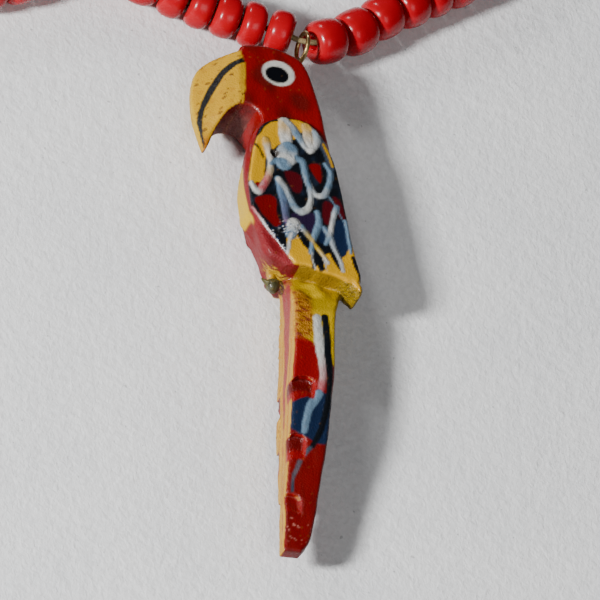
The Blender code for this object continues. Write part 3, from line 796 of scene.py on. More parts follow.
# Each wing's middle, from the carving's, half its thickness and how round its edge is.
LEFT_WING_SLAB = (2.4, 3.1, 0.45)
RIGHT_WING_SLAB = (-3.25, 2.25, 0.35)
WING_BLEND = 0.25
BODY_OUTLINE = (
    (-9.0, -1.3, SHARP), (-8.2, 0.0), (-3.8, 0.6), (-0.3, 0.1), (2.7, -2.0), (5.0, -8.8),
    (6.3, -14.5), (7.7, -21.5), (9.2, -31.8), (10.4, -38.8), (10.4, -43.0), (9.2, -47.0),
    (8.2, -51.0), (8.2, -60.0), (7.5, -69.6), (6.5, -81.2), (5.3, -90.9), (4.6, -94.5),
    (3.3, -96.7, SHARP), (0.1, -97.0, SHARP), (0.2, -92.0), (0.3, -80.0), (0.6, -65.0),
    (1.0, -55.0), (0.9, -45.5), (0.2, -43.2, SHARP), (-1.6, -42.2), (-3.6, -41.6), (-5.3, -39.2),
    (-6.6, -35.0), (-7.6, -30.0), (-8.1, -25.0), (-7.6, -20.0), (-6.6, -16.8),
    (-5.4, -14.8, SHARP), (-5.5, -13.5), (-6.7, -12.2), (-8.6, -12.1), (-9.7, -12.7),
    (-10.8, -13.9), (-12.0, -16.1), (-13.0, -18.9), (-13.6, -20.4, SHARP), (-14.8, -16.7),
    (-15.7, -12.9), (-15.9, -9.6), (-15.7, -6.8), (-14.9, -4.4), (-13.1, -2.8), (-11.1, -2.0),
)
# A wing's outline down the back, and from its tip round to the front. The tips differ.
WING_BACK = (
    (-7.0, -33.0, SHARP), (-7.5, -27.0), (-6.6, -20.5), (-5.3, -16.2), (-2.3, -14.1), (1.3, -13.5),
    (4.2, -14.8), (6.5, -18.2), (8.0, -22.5), (9.8, -31.8),
)
LEFT_WING_TIP = (
    (11.2, -38.8), (12.9, -44.8, SHARP), (12.2, -46.2, SHARP), (10.0, -44.3), (8.0, -43.5),
)
RIGHT_WING_TIP = (
    (10.8, -38.8), (11.0, -42.4, SHARP), (10.2, -43.3, SHARP), (8.0, -43.4),
)
WING_FRONT = (
    (5.3, -43.2), (3.0, -42.5), (0.6, -42.6, SHARP), (-3.7, -37.4),
)
# How far the right side of the breast and belly is cut back from the left, (y, shift).
BREAST_SLANT = (
    (-46.0, 0.0), (-43.5, 1.0), (-41.0, 3.0), (-38.0, 3.6), (-35.0, 3.1), (-30.0, 2.5),
    (-16.5, 2.2), (-13.5, 0.0),
)
# The cut starts at the first place along X, behind the beak, and fades from the second to the third.
BREAST_X = (-9.2, -4.5, 0.5)
# Half the thickness along the bird, and across the beak.
SIDE_PROFILE = (
    (-102.0, 0.9), (-86.0, 2.1), (-72.0, 3.9), (-45.5, 4.4), (-43.0, 5.0), (4.0, 5.0),
)
BEAK_PROFILE = (
    (-30.0, 0.7), (-15.9, 0.8), (-14.5, 1.6), (-13.0, 2.5), (-11.0, 4.0), (-9.0, 5.0), (-8.0, 5.5),
    (30.0, 5.5),
)
# How round the edges between the faces are, along the bird.
EDGE_ROUNDING = (
    (-102.0, 0.5), (-60.0, 0.6), (-45.0, 0.8), (-41.0, 1.6), (-30.0, 1.3), (-18.0, 1.0),
    (-12.0, 0.7), (4.0, 0.8),
)
# Scoops cut with a gouge in the tail's front edge: the top edge, and how far each one runs down.
SCOOPS = (
    (((-0.6, -65.6), (0.5, -64.8), (1.8, -64.0), (3.4, -63.7), (4.9, -64.6)), 4.6, 1.1),
    (((-0.8, -76.4), (0.3, -75.7), (1.3, -75.1), (2.6, -75.1), (3.6, -75.9)), 5.6, 0.95),
    (((-0.8, -86.9), (0.1, -86.2), (1.5, -86.1), (2.4, -86.4), (3.3, -87.4)), 4.2, 0.75),
)
UNDER_WING_Y = (-43.0, -50.5)
UNDER_WING_DEPTHS = (3.4, 1.7)  # on the left and on the right
DOT = ((-3.1, -21.4), 0.75)


def profile(values, along):
    places, sizes = zip(*values)
    return np.interp(along, places, sizes)


def smoothstep(low, high, value):
    """0 at low and 1 at high, with a smooth rise between. Low may be the larger."""
    t = np.clip((value - low) / (high - low), 0.0, 1.0)
    return t * t * (3.0 - 2.0 * t)


def rounded(flat, tall, radius):
    """The distance to where two slabs meet, with the edge between them rounded."""
    a, b = flat + radius, tall + radius
    return np.minimum(np.maximum(a, b), 0.0) + np.hypot(np.maximum(a, 0), np.maximum(b, 0)) - radius


def scoop_depth(x, y):
    depth = np.zeros_like(x)
    for top, run, deep in SCOOPS:
        xs, ys = zip(*top)
        below = np.interp(x, xs, ys) - y
        sides = smoothstep(xs[0], xs[0] + 0.5, x) * (1.0 - smoothstep(xs[-1] - 1.0, xs[-1], x))
        ramp = smoothstep(-0.10, 0.22, below) * (1.0 - smoothstep(0.2 * run, run, below))
        depth = np.maximum(depth, deep * sides * ramp)
    return depth


def breast_shift(x, y):
    """How far the right side of the breast and belly is cut back from the left."""
    beak, full, none = BREAST_X
    shift = profile(BREAST_SLANT, y) * np.interp(x, (full, none), (1.0, 0.0))
    return np.where(np.asarray(x) > beak, shift, 0.0)


def under_wing_depth(x, y):
    """The hollow slope between a wing's tip and the tail, as a share of its depth at the foot."""
    foot, top = UNDER_WING_Y
    down = np.clip((y - top) / (foot - top), 0.0, 1.0) ** 1.35
    down = np.where(y > foot, 1.0 - smoothstep(foot, foot + 0.4, y), down)
    return down * smoothstep(-1.2, -0.2, x)


def wing_lines():
    """The smooth outlines of the left wing and of the right one, which follows the slant."""
    left = smooth_outline((*WING_BACK, *LEFT_WING_TIP, *WING_FRONT))
    right = smooth_outline((*WING_BACK, *RIGHT_WING_TIP, *WING_FRONT))
    right[:, 0] += breast_shift(*right.T)
    return left, right


def make_body_field():
    """The carving as a sampled distance in mm. It is negative inside."""
    axes = [np.arange(low, high, GRID) for low, high in zip(LOW, HIGH)]
    x, y = np.meshgrid(axes[0], axes[1], indexing="ij")
    z = axes[2][None, None, :] - MIDDLE_Z
    side = np.abs(z)
    left_line = smooth_outline(BODY_OUTLINE)
    right_line = left_line.copy()
    right_line[:, 0] += breast_shift(*left_line.T)
    left_side = distance_to_outline(x, y, left_line)
    right_side = distance_to_outline(x, y, right_line)
    toward_left = np.clip(0.5 + z / (2 * BODY_HALF), 0.0, 1.0)
    whittled = 0.05 * ripple(x, y, scale=3.4, seed=1.0)[..., None]
    body = right_side[..., None] + (left_side - right_side)[..., None] * toward_left + whittled

    half = np.minimum(profile(SIDE_PROFILE, y), profile(BEAK_PROFILE, x))
    hook = (x < -9.5) & (y < -12.0)
    half = np.where(hook, half * (1.0 - 0.6 * smoothstep(-13.0, -20.0, y)), half)
    half = half + 0.05 * ripple(x, y, scale=4.5, seed=3.0) - scoop_depth(x, y)
    slope = under_wing_depth(x, y)[..., None]
    cut = slope * np.where(z > 0.0, *UNDER_WING_DEPTHS)
    cut = cut * (1.0 + 0.12 * ripple(x, y, scale=1.8, seed=12.0)[..., None])
    rounding = np.minimum(profile(EDGE_ROUNDING, y), half * 0.55)[..., None]
    field = rounded(body, side - half[..., None] + cut, rounding)

    for line, (middle, thick, reach) in zip(wing_lines(), (LEFT_WING_SLAB, RIGHT_WING_SLAB)):
        wing = distance_to_outline(x, y, line)
        # The tip is a rough lump, left by the knife.
        lump = smoothstep(8.5, 11.0, x) * smoothstep(-42.0, -44.0, y)
        wing = wing + 0.18 * lump * ripple(x, y, scale=0.9, seed=14.0)
        plate = rounded(wing[..., None], np.abs(z - middle) - thick, reach + 1.3 * lump[..., None])
        field = smooth_union(field, plate, WING_BLEND)

    # Wrinkles where the tail's root was cut across the grain.
    root = smoothstep(-59.0, -56.0, y) * smoothstep(-44.5, -47.0, y) * smoothstep(5.0, 3.2, x)
    wrinkles = ripple(x * 0.35, y, scale=0.6, seed=2.0) * root
    field = field + 0.10 * wrinkles[..., None] * (side > 2.5)
    # The knife slipped along the right edge of the tail's front.
    edge = smoothstep(-1.5, -3.0, z) * (smoothstep(-60.0, -66.0, y) * smoothstep(2.6, 1.2, x))[..., None]
    slips = smoothstep(0.1, 0.7, ripple(x * 0.2, y, scale=2.0, seed=5.0))[..., None]
    field = field + 0.45 * edge * slips

    raised = stroke_relief(x, y)
    dot = np.hypot(x - DOT[0][0], y - DOT[0][1])
    raised = raised - 0.45 * (1.0 - smoothstep(DOT[1] * 0.5, DOT[1], dot))
    pressed = np.where(z > 0.0, 1.0, UNDERSIDE_RELIEF)
    field = field + 0.035 * ripple(x[..., None], y[..., None] * 0.4, z, scale=1.6, seed=8.0)
    return field - raised[..., None] * smoothstep(3.0, 4.2, side) * pressed


def smooth_union(first, second, blend):
    share = np.clip(0.5 + 0.5 * (second - first) / blend, 0.0, 1.0)
    return second + (first - second) * share - blend * share * (1.0 - share)


# The painting -------------------------------------------------------------------------------

# The film look of the renders greys and lifts every colour, so the paint makes up for it.
SATURATION = 1.45
DEPTH = 0.62


def srgb(red, green, blue):
    """A colour given as it looks on a screen, as the light it reflects."""
    value = np.array((red, green, blue)) / 255.0
    light = np.where(value < 0.04045, value / 12.92, ((value + 0.055) / 1.055) ** 2.4)
    grey = light @ (0.2126, 0.7152, 0.0722)
    return np.clip(DEPTH * (grey + (light - grey) * SATURATION), 0.0008, 0.9)


RED = (136, 10, 16)
DEEP_RED = (98, 8, 14)
SHEEN_RED = (128, 40, 44)
MAROON = (78, 16, 26)
PINK = (188, 104, 110)
YELLOW = (228, 184, 40)
OLIVE_YELLOW = (208, 180, 36)
PALE_YELLOW = (222, 190, 104)
CREAM = (216, 182, 128)
NAVY = (26, 38, 62)
BLACK = (14, 17, 22)
GREY_BLUE = (128, 148, 166)
WHITE = (226, 226, 222)
BROWN = (120, 84, 50)
WOOD = (176, 134, 78)
SLATE = (70, 78, 90)
PLUM = (38, 26, 52)
WING_RED = (116, 10, 18)
WING_DEEP_RED = (112, 8, 16)
WARM_WHITE = (222, 206, 180)
STEEL_BLUE = (112, 130, 152)
DUSK_BLUE = (100, 104, 128)
MAUVE = (150, 112, 128)
WARM_GREY = (110, 98, 104)
TAN = (206, 168, 108)
TAN_GRAIN = (190, 136, 84)
SHEEN_STRIPE_RED = (150, 72, 70)
RUSTY_PINK = (168, 84, 70)
HEAD_RED = (140, 8, 14)
THROAT_RED = (104, 14, 20)
THIN_PAINT = (112, 70, 66)
WRINKLE_RED = (64, 10, 14)
BEAK_YELLOW = (206, 168, 6)
BEAK_LIGHT = (232, 190, 60)
BEAK_WORN = (176, 128, 36)
BEAK_TIP = (170, 84, 36)
BEAK_BLACK = (10, 11, 12)
ARCH_HIGHLIGHT_PINK = (176, 70, 66)
EYE_IVORY = (236, 234, 226)
EYE_GREY = (186, 188, 190)
PUPIL_BLACK = (10, 12, 16)
WING_SHEEN = (40, 50, 66)
GLITTER_BLUE = (52, 70, 104)
GLITTER_GLINT_WHITE = (244, 246, 250)
DOT_RIM = (52, 44, 38)
DOT_HOLE = (20, 18, 18)
TAIL_RED = (116, 10, 16)
ROOT_OCHRE = (168, 112, 26)
ROOT_BROWN = (110, 36, 20)
SLOPE_OLIVE = (180, 148, 34)
LIT_RAMP_YELLOW = (246, 214, 16)
SCOOP_RED = (142, 3, 12)
SCOOP_SHADE = (84, 2, 8)
GLINT = (210, 150, 140)
UNDERSIDE_SHADE_OLIVE = (158, 130, 30)
LUMP_OLIVE = (160, 136, 28)
LUMP_SHADE = (84, 72, 20)
PEG_OLIVE = (70, 72, 30)
PEG_GOLD = (196, 158, 50)
PEG_WOOD = (96, 88, 36)

# Flat patches on the wing, painted over its black ground: (colour, outline).
WING_PATCHES = (
    (
        YELLOW,
        (
            (-7.3, -28.0), (-7.3, -25.4), (-6.7, -21.0), (-5.9, -18.4), (-4.2, -15.8),
            (-2.3, -14.6), (0.3, -13.6), (2.5, -13.6), (1.7, -15.9), (1.1, -17.1), (-1.9, -19.3),
            (-3.4, -20.8), (-4.7, -23.0), (-4.9, -26.7), (-6.3, -28.7),
        ),
    ),
    (
        YELLOW,
        (
            (-0.8, -37.4), (1.0, -36.3), (3.3, -40.8), (3.8, -43.1), (6.4, -39.3), (8.4, -40.1),
            (9.4, -38.6), (10.6, -36.9), (13.1, -45.2), (10.0, -44.4), (5.6, -43.5), (0.0, -42.6),
        ),
    ),
    (NAVY, ((7.7, -32.6), (9.2, -32.9), (9.8, -38.1), (8.7, -39.3), (7.2, -36.2))),
    (NAVY, ((5.0, -35.0), (5.8, -35.9), (5.6, -37.5), (4.7, -37.2))),
    (PLUM, ((0.0, -32.9), (3.8, -31.9), (3.8, -34.9), (2.8, -36.6), (1.3, -35.0))),
    (MAROON, ((5.5, -29.1), (7.2, -29.6), (6.6, -33.4), (5.5, -33.1))),
    (MAROON, ((7.2, -27.8), (8.6, -28.8), (9.4, -31.6), (8.1, -31.4))),
    (MAROON, ((-1.3, -24.8), (1.4, -24.6), (1.7, -27.9), (0.3, -28.2))),
    (WING_RED, ((3.0, -22.5), (4.9, -21.9), (5.0, -25.6))),
    (
        WING_DEEP_RED,
        (
            (-6.4, -31.2), (-3.1, -30.1), (-2.6, -33.8), (-1.8, -35.2), (-2.8, -36.1),
            (-4.0, -35.3), (-5.6, -33.6),
        ),
    ),
    (SLATE, ((4.4, -14.6), (6.2, -17.8), (7.4, -22.0), (6.5, -22.6), (5.4, -19.4), (4.0, -16.6))),
)
# Brush strokes on the wing: (colours from start to end, line, width, thickness of the paint).
WING_STROKES = (
    ((BLACK,), ((-6.5, -20.2), (-5.7, -21.1), (-5.0, -22.6)), 0.45, 0.0),
    ((YELLOW,), ((5.5, -17.5), (6.4, -19.4), (7.1, -21.7)), 0.5, 0.05),
    ((RED,), ((-6.0, -28.4), (-5.6, -28.9)), 0.9, 0.05),
    ((BLACK,), ((1.1, -36.4), (2.0, -38.0), (2.7, -38.9)), 0.9, 0.1),
    ((BLACK,), ((4.4, -40.0), (4.7, -41.3), (5.2, -42.6)), 1.5, 0.1),
    ((BLACK,), ((7.2, -39.5), (8.0, -41.1), (8.7, -42.2)), 1.0, 0.1),
    ((BLACK,), ((10.7, -39.3), (11.4, -41.1), (12.1, -43.1)), 0.9, 0.1),
    (
        (CREAM, WHITE, GREY_BLUE),
        ((-1.4, -14.3), (-1.2, -17.0), (-1.0, -19.0), (-1.1, -21.2)),
        2.3,
        0.28,
    ),
    (
        (WHITE, GREY_BLUE, WHITE),
        ((-1.5, -14.1), (-0.1, -15.4), (1.1, -17.1), (2.2, -18.7), (3.1, -19.4)),
        1.4,
        0.26,
    ),
    ((WHITE, GREY_BLUE), ((3.1, -19.4), (4.2, -17.8), (4.1, -15.8), (3.0, -14.6)), 1.4, 0.26),
    ((CREAM, WHITE), ((2.5, -14.8), (2.7, -16.5), (3.1, -18.6)), 1.8, 0.22),
    ((GREY_BLUE, WHITE, GREY_BLUE), ((-0.6, -20.3), (-1.0, -21.8), (-1.5, -23.1)), 3.5, 0.3),
    (
        (CREAM, WHITE, WARM_WHITE, PINK, WHITE, WHITE),
        (
            (-4.6, -19.1), (-4.2, -21.0), (-3.8, -22.8), (-3.8, -24.6), (-4.2, -26.5),
            (-5.0, -28.4), (-5.9, -29.9), (-6.7, -29.1), (-7.1, -28.3),
        ),
        1.3,
        0.26,
    ),
    ((GREY_BLUE,), ((-1.5, -22.8), (-2.9, -23.0), (-3.7, -23.8)), 1.1, 0.24),
    (
        (GREY_BLUE, GREY_BLUE, WHITE, GREY_BLUE, GREY_BLUE),
        (
            (0.9, -21.6), (1.8, -22.0), (2.2, -23.8), (2.7, -25.8), (3.4, -27.3), (4.3, -28.2),
            (5.5, -27.9), (6.1, -26.7), (6.6, -24.9), (6.7, -23.0), (5.8, -21.5),
        ),
        1.2,
        0.25,
    ),
    (
        (GREY_BLUE, STEEL_BLUE, DUSK_BLUE, MAUVE),
        ((-2.4, -26.5), (-1.9, -28.7), (-1.3, -31.3), (-1.0, -34.1), (-0.6, -35.6)),
        1.5,
        0.26,
    ),
    (
        (WHITE, GREY_BLUE, WHITE, GREY_BLUE),
        (
            (-2.3, -26.6), (-1.2, -28.1), (-0.3, -30.1), (0.5, -31.5), (1.6, -32.1), (2.8, -31.1),
            (3.3, -29.2), (3.1, -27.5), (2.8, -25.8),
        ),
        1.3,
        0.25,
    ),
    ((GREY_BLUE,), ((4.4, -31.6), (4.7, -33.6), (4.1, -35.9), (3.6, -37.8), (3.3, -40.0)), 1.2, 0.22),
    ((GREY_BLUE, WHITE), ((5.6, -34.5), (6.6, -36.0), (7.3, -38.0), (8.4, -40.4), (8.9, -42.3)), 1.0, 0.2),
    (
        (GREY_BLUE, WHITE, GREY_BLUE),
        ((7.8, -29.8), (7.3, -31.6), (6.9, -34.0), (6.6, -35.7), (5.9, -37.6)),
        1.0,
        0.22,
    ),
    ((GREY_BLUE,), ((9.4, -32.2), (9.7, -34.2), (10.1, -37.0), (10.3, -38.4)), 0.8, 0.2),
    (
        (GREY_BLUE, PALE_YELLOW, WHITE),
        ((1.6, -35.1), (2.8, -36.6), (4.1, -38.4), (5.3, -39.9), (6.3, -41.3)),
        0.9,
        0.22,
    ),
    ((GREY_BLUE,), ((6.4, -27.9), (7.3, -29.1), (8.3, -31.0), (9.2, -32.7)), 0.28, 0.05),
    ((WHITE, GREY_BLUE), ((0.3, -34.8), (0.0, -36.2), (-0.3, -37.3)), 2.2, 0.3),
    ((WHITE,), ((-0.3, -37.3), (-0.6, -39.9), (-0.9, -41.4)), 0.6, 0.16),
    # A pink and white line along the wing's raised lower front edge: a painted highlight, with a little
    # relief.
    (
        (PINK, WHITE, PINK, WHITE),
        ((-7.0, -33.0), (-5.3, -35.3), (-3.7, -37.4), (-2.2, -39.5), (-0.9, -41.0)),
        0.4,
        0.1,
    ),
    ((WHITE,), ((3.5, -39.9), (3.6, -41.4), (4.2, -42.9)), 0.25, 0.05),
    ((WHITE,), ((5.3, -40.4), (5.8, -41.6), (6.1, -42.9)), 0.25, 0.05),
)
GLITTER_LINE = ((-4.9, -35.7), (-3.7, -37.2), (-2.2, -39.3), (-1.2, -40.8))
TAIL_PATCHES = (
    (
        OLIVE_YELLOW,
        (
            (-0.5, -42.6), (10.9, -43.6), (10.0, -48.0), (8.9, -52.0), (8.8, -60.4), (7.1, -59.8),
            (6.0, -56.8), (4.4, -57.3), (1.3, -56.7), (0.4, -56.2),
        ),
    ),
    (
        RED,
        (
            (0.9, -55.3), (1.6, -55.3), (2.8, -56.2), (4.4, -57.2), (4.9, -60.5), (4.9, -65.6),
            (4.1, -67.2), (2.7, -68.2), (0.9, -69.2),
        ),
    ),
    (
        NAVY,
        (
            (0.4, -69.3), (0.9, -69.2), (2.8, -67.9), (4.4, -66.8), (6.2, -66.3), (8.0, -67.8),
            (8.0, -73.6), (7.2, -74.8), (6.7, -76.0), (5.2, -76.2), (3.6, -75.5), (1.6, -74.9),
            (0.4, -73.9),
        ),
    ),
)
TAIL_STROKES = (
    (
        (WHITE, WHITE, PINK),
        ((4.8, -51.9), (5.0, -54.2), (5.3, -57.2), (5.7, -60.3), (5.9, -62.9), (5.6, -65.7)),
        1.6,
        0.16,
    ),
    ((GREY_BLUE,), ((5.3, -66.6), (4.8, -67.6), (3.7, -69.7), (3.1, -72.0), (2.8, -74.4)), 1.5, 0.12),
    (
        (BLACK,),
        (
            (6.2, -51.4), (6.5, -54.7), (6.7, -58.3), (7.0, -60.9), (7.1, -63.5), (7.0, -66.2),
            (6.5, -69.6), (5.6, -73.8), (4.4, -76.8),
        ),
        1.2,
        0.12,
    ),
    (
        (SLATE, WARM_GREY, SLATE),
        ((4.0, -77.3), (2.7, -79.2), (1.9, -81.5), (1.3, -83.4), (1.3, -85.6)),
        0.8,
        0.04,
    ),
)
# Each of the eye's rounds: its middle, and its size along X and along Y.
EYE_WHITE = ((-2.25, -4.65), (2.85, 2.5))
EYE_PUPIL = ((-2.45, -4.95), (2.05, 1.65))
BEAK_EDGE = ((-9.2, 1.0), (-9.0, -1.2), (-8.4, -3.1), (-8.0, -5.6), (-8.1, -9.1), (-8.6, -13.5))
BEAK_STRIPE = (
    (-8.3, -3.4), (-10.0, -4.4), (-11.5, -5.9), (-12.6, -8.0), (-13.8, -10.8), (-14.6, -13.5),
    (-14.6, -16.2), (-14.0, -19.6),
)
LIT_ARCH = ((-9.0, -12.2), (-7.6, -12.0), (-6.4, -12.3), (-5.6, -13.5), (-5.5, -14.9))


def stroke_depth(x, y, line, width):
    """How far inside a brush stroke each place is, and how far along it, from 0 to 1."""
    path = smooth_line(line, steps=5)
    along = np.linspace(0.0, 1.0, len(path))
    # A stroke starts full and ends in a point, and the hand isn't steady.
    sizes = width / 2 * (1.0 - 0.35 * along**3) * (1.0 + 0.10 * np.sin(along * 9 + line[0][0]))
    best = np.full(x.shape, -np.inf)
    part = np.zeros(x.shape)
    for (ax, ay), (bx, by), start, end, size in zip(path, path[1:], along, along[1:], sizes):
        dx, dy = bx - ax, by - ay
        t = np.clip(((x - ax) * dx + (y - ay) * dy) / (dx * dx + dy * dy + 1e-12), 0.0, 1.0)
        depth = size - np.hypot(x - ax - t * dx, y - ay - t * dy)
        nearer = depth > best
        best = np.where(nearer, depth, best)
        part = np.where(nearer, start + t * (end - start), part)
    return best, part


def stroke_relief(x, y):
    """How much the wet strokes of paint stand out from the wing and the tail, in mm."""
    raised = np.zeros_like(x)
    for _, line, width, height in (*WING_STROKES, *TAIL_STROKES):
        depth, _ = stroke_depth(x, y, line, width)
        dome = height * smoothstep(-0.1, 0.45, depth) * (1.0 + 0.25 * ripple(x, y, scale=0.9, seed=4.0))
        raised = np.maximum(raised, dome)
    return raised


class Painting:
    """The paint on each point: its colour, how dull it is and how rough."""

    def __init__(self, x, y, z, normal):
        self.x, self.y, self.z, self.normal = x, y, z, normal
        self.colour = np.zeros((len(x), 3))
        self.dull = np.full(len(x), 0.36)
        self.rough = np.full(len(x), 0.25)
        self.wobble = 0.09 * ripple(x, y, scale=1.6, seed=6.0) + 0.03 * ripple(x, y, scale=0.5, seed=9.0)

    def lay(self, colour, amount, dull=None, rough=None):
        """Lays a colour over what is there. It is a screen colour, or one for each point."""
        tint = srgb(*colour) if isinstance(colour, tuple) else colour
        amount = np.clip(amount, 0.0, 1.0)
        self.colour += (tint - self.colour) * amount[:, None]
        if dull is not None:
            self.dull += (dull - self.dull) * amount
        if rough is not None:
            self.rough += (rough - self.rough) * amount

    def inside(self, outline, soft=0.12):
        line = smooth_line(outline, closed=True, steps=4)
        gap = distance_to_outline(self.x, self.y, line)
        return 1.0 - smoothstep(-soft, soft, gap + self.wobble)

    def near(self, centre, size, soft=0.12):
        """1 within a round of that size along X and along Y."""
        across, up = (self.x - centre[0]) / size[0], (self.y - centre[1]) / size[1]
        gap = (np.hypot(across, up) - 1.0) * min(size)
        return 1.0 - smoothstep(-soft, soft, gap + 0.4 * self.wobble)

    def stroke(self, colours, line, width, where, dull=0.3):
        depth, part = stroke_depth(self.x, self.y, line, width)
        if len(colours) == 1:
            tint = np.tile(srgb(*colours[0]), (len(part), 1))
        else:
            stops = np.linspace(0.0, 1.0, len(colours))
            shades = np.array([srgb(*colour) for colour in colours])
            part = np.clip(part + 0.8 * self.wobble, 0.0, 1.0)
            tint = np.stack([np.interp(part, stops, shade) for shade in shades.T], 1)
        # Bristles leave darker lines along a stroke, and its edge is thin.
        bristles = 1.0 - 0.22 * smoothstep(0.1, 0.9, ripple(self.x, self.y * 0.3, scale=0.35, seed=2.0))
        thin = 0.72 + 0.28 * smoothstep(0.0, 0.3, depth)
        tint = tint * (bristles * thin)[:, None]
        self.lay(tint, smoothstep(-0.1, 0.1, depth + 0.5 * self.wobble) * where, dull)

    def speckle(self, scale, seed, rare):
        """1 in small, irregular spots and 0 between them."""
        spots = ripple(self.x, self.y, self.z, scale, seed)
        spots = spots * ripple(self.y, self.z, self.x, scale, seed + 3)
        return smoothstep(rare, rare + 0.12, spots)


def paint_front(art, facing):
    """The bird's breast and belly, and the tail's front face."""
    x, y, z = art.x, art.y, art.z
    brushed = smoothstep(-0.6, 0.9, ripple(x, y * 0.4, z, 1.4, 1.0))
    breast = facing * (x > -9.2)
    # The breast and belly front: red paint lightened to pink on faces turned to the key light, a painted
    # sheen.
    art.lay(SHEEN_RED, breast * (0.75 + 0.25 * brushed) * smoothstep(-17.0, -20.0, y), 0.62, 0.5)
    art.lay(DEEP_RED, breast * smoothstep(-40.0, -42.5, y) * (y > -45.5) * 0.6, 0.5)
    # A pale patch that wraps round from the right side of the breast.
    reach = np.interp(y, (-37.0, -35.0, -30.0, -24.0, -20.0), (9.6, 9.8, 9.0, 8.0, 4.0))
    patch = smoothstep(-0.3, 0.2, reach - z + 0.6 * art.wobble)
    lowest = -33.2 - 0.55 * (z - 3.0)
    patch = patch * smoothstep(-0.3, 0.3, y - lowest) * (y < -19.0) * smoothstep(1.0, 1.4, -x - 5.0)
    art.lay(PALE_YELLOW, breast * patch, 0.45, 0.4)
    tail = facing * smoothstep(-43.6, -44.6, y)
    art.lay(TAN, tail, 0.55, 0.5)
    grain = smoothstep(-0.2, 0.8, ripple(x, y * 0.12, z, 0.8, 3.0))
    art.lay(TAN_GRAIN, tail * grain * 0.7, 0.6, 0.7)
    # Down the tail's front runs a stripe of red paint, lightened to pink as a painted sheen.
    width = np.interp(y, (-76.0, -60.0, -45.0), (0.0, 1.0, 1.9)) + 2.0 * art.wobble
    art.lay(SHEEN_STRIPE_RED, tail * smoothstep(-0.25, 0.25, width - np.abs(z - MIDDLE_Z - 0.3)), 0.5)
    thin = smoothstep(0.05, -0.05, np.abs(z - MIDDLE_Z - 2.3) - 0.12) * smoothstep(-0.2, 0.3, grain)
    art.lay(RUSTY_PINK, tail * thin * 0.7, 0.5)
    nicks = tail * (z < MIDDLE_Z - 1.2) * (y < -62.0) * smoothstep(0.05, 0.4, ripple(y, z, x, 1.3, 5.0))
    art.lay(YELLOW, nicks * 0.8, 0.6, 0.9)
    art.lay(BROWN, nicks * smoothstep(0.3, 0.5, ripple(y, z, x, 0.5, 7.0)) * 0.7, 0.7, 1.0)
    peg = np.hypot(np.hypot(x - PEG_CENTRE[0], (y + 42.3) * 0.7), z - MIDDLE_Z)
    bare = 1.0 - smoothstep(1.3, 2.3, peg + 1.1 * ripple(x, y * 0.3, z, 0.5, 3.0))
    art.lay(PALE_YELLOW, bare * 0.85 * (y < -39.0), 0.6, 1.0)
    art.lay(BROWN, bare * smoothstep(0.2, 0.6, ripple(x, y, z, 0.5, 6.0)) * 0.7, 0.7, 1.0)


def paint_head(art, side):
    x, y, z = art.x, art.y, art.z
    depth = BODY_HALF + MIDDLE_Z - z
    head = smoothstep(-17.0, -13.0, y)
    light = smoothstep(-0.5, 0.8, ripple(x, y * 0.5, scale=3.0, seed=4.0))
    art.lay(HEAD_RED, head * light * 0.7, 0.3)
    # The throat is cut across the grain, and its paint is thin.
    throat = smoothstep(-11.6, -12.2, y) * (y > -22.0) * (x < -4.6) * (x > -15.6)
    throat = throat * smoothstep(0.35, 0.55, 1.0 - side) * (art.normal[:, 0] > -0.75)
    throat = throat * np.where(x < -9.6, art.normal[:, 0] > 0.0, 1.0)
    wrinkles = smoothstep(0.1, 0.7, ripple(x, z * 0.3, y, 0.5, 4.0))
    art.lay(THROAT_RED, throat, 0.5, 0.6)
    art.lay(THIN_PAINT, throat * smoothstep(2.0, 5.5, depth), 0.6, 0.8)
    art.lay(WRINKLE_RED, throat * wrinkles * 0.6, 0.6)
    beak_line = smooth_line(BEAK_EDGE, steps=6)
    edge = np.interp(y, beak_line[::-1, 1], beak_line[::-1, 0])
    beak = (1.0 - smoothstep(-0.12, 0.12, x - edge + art.wobble)) * (1.0 - throat)
    art.lay(BEAK_YELLOW, beak, 0.6, 0.35)
    pale = beak * smoothstep(-0.2, 0.6, ripple(x, y, scale=2.2, seed=2.0))
    art.lay(BEAK_LIGHT, pale * 0.12)
    art.lay(BEAK_WORN, beak * smoothstep(0.25, 0.8, ripple(x, y, scale=0.9, seed=5.0)) * 0.35)
    art.lay(BROWN, beak * art.speckle(0.7, 2.0, 0.36) * 0.8, 0.6, 0.8)
    art.lay(BEAK_TIP, beak * art.near((-13.5, -19.6), (1.1, 1.9), 0.6) * 0.5)
    # The beak's front edge is lightened to pale yellow: a painted sheen.
    beak_front_sheen = beak * smoothstep(0.7, 0.9, -art.normal[:, 0])
    art.lay(PALE_YELLOW, beak_front_sheen * 0.6, 0.35)
    near_side = np.maximum(side, smoothstep(0.5, 0.6, np.abs(art.normal[:, 2])))
    art.stroke((BEAK_BLACK,), BEAK_STRIPE, 1.05, beak * near_side, 0.5)
    # A pink line along the lit edge of the throat's arch: a painted highlight.
    art.stroke((ARCH_HIGHLIGHT_PINK,), LIT_ARCH, 0.25, side * (1.0 - beak))
    white = art.near(*EYE_WHITE) * side
    art.lay(EYE_IVORY, white, 0.25, 0.2)
    art.lay(EYE_GREY, white * smoothstep(0.0, 0.8, ripple(x, y, scale=0.8, seed=3.0)) * 0.35)
    art.lay(PUPIL_BLACK, art.near(*EYE_PUPIL) * side, 0.2, 0.1)


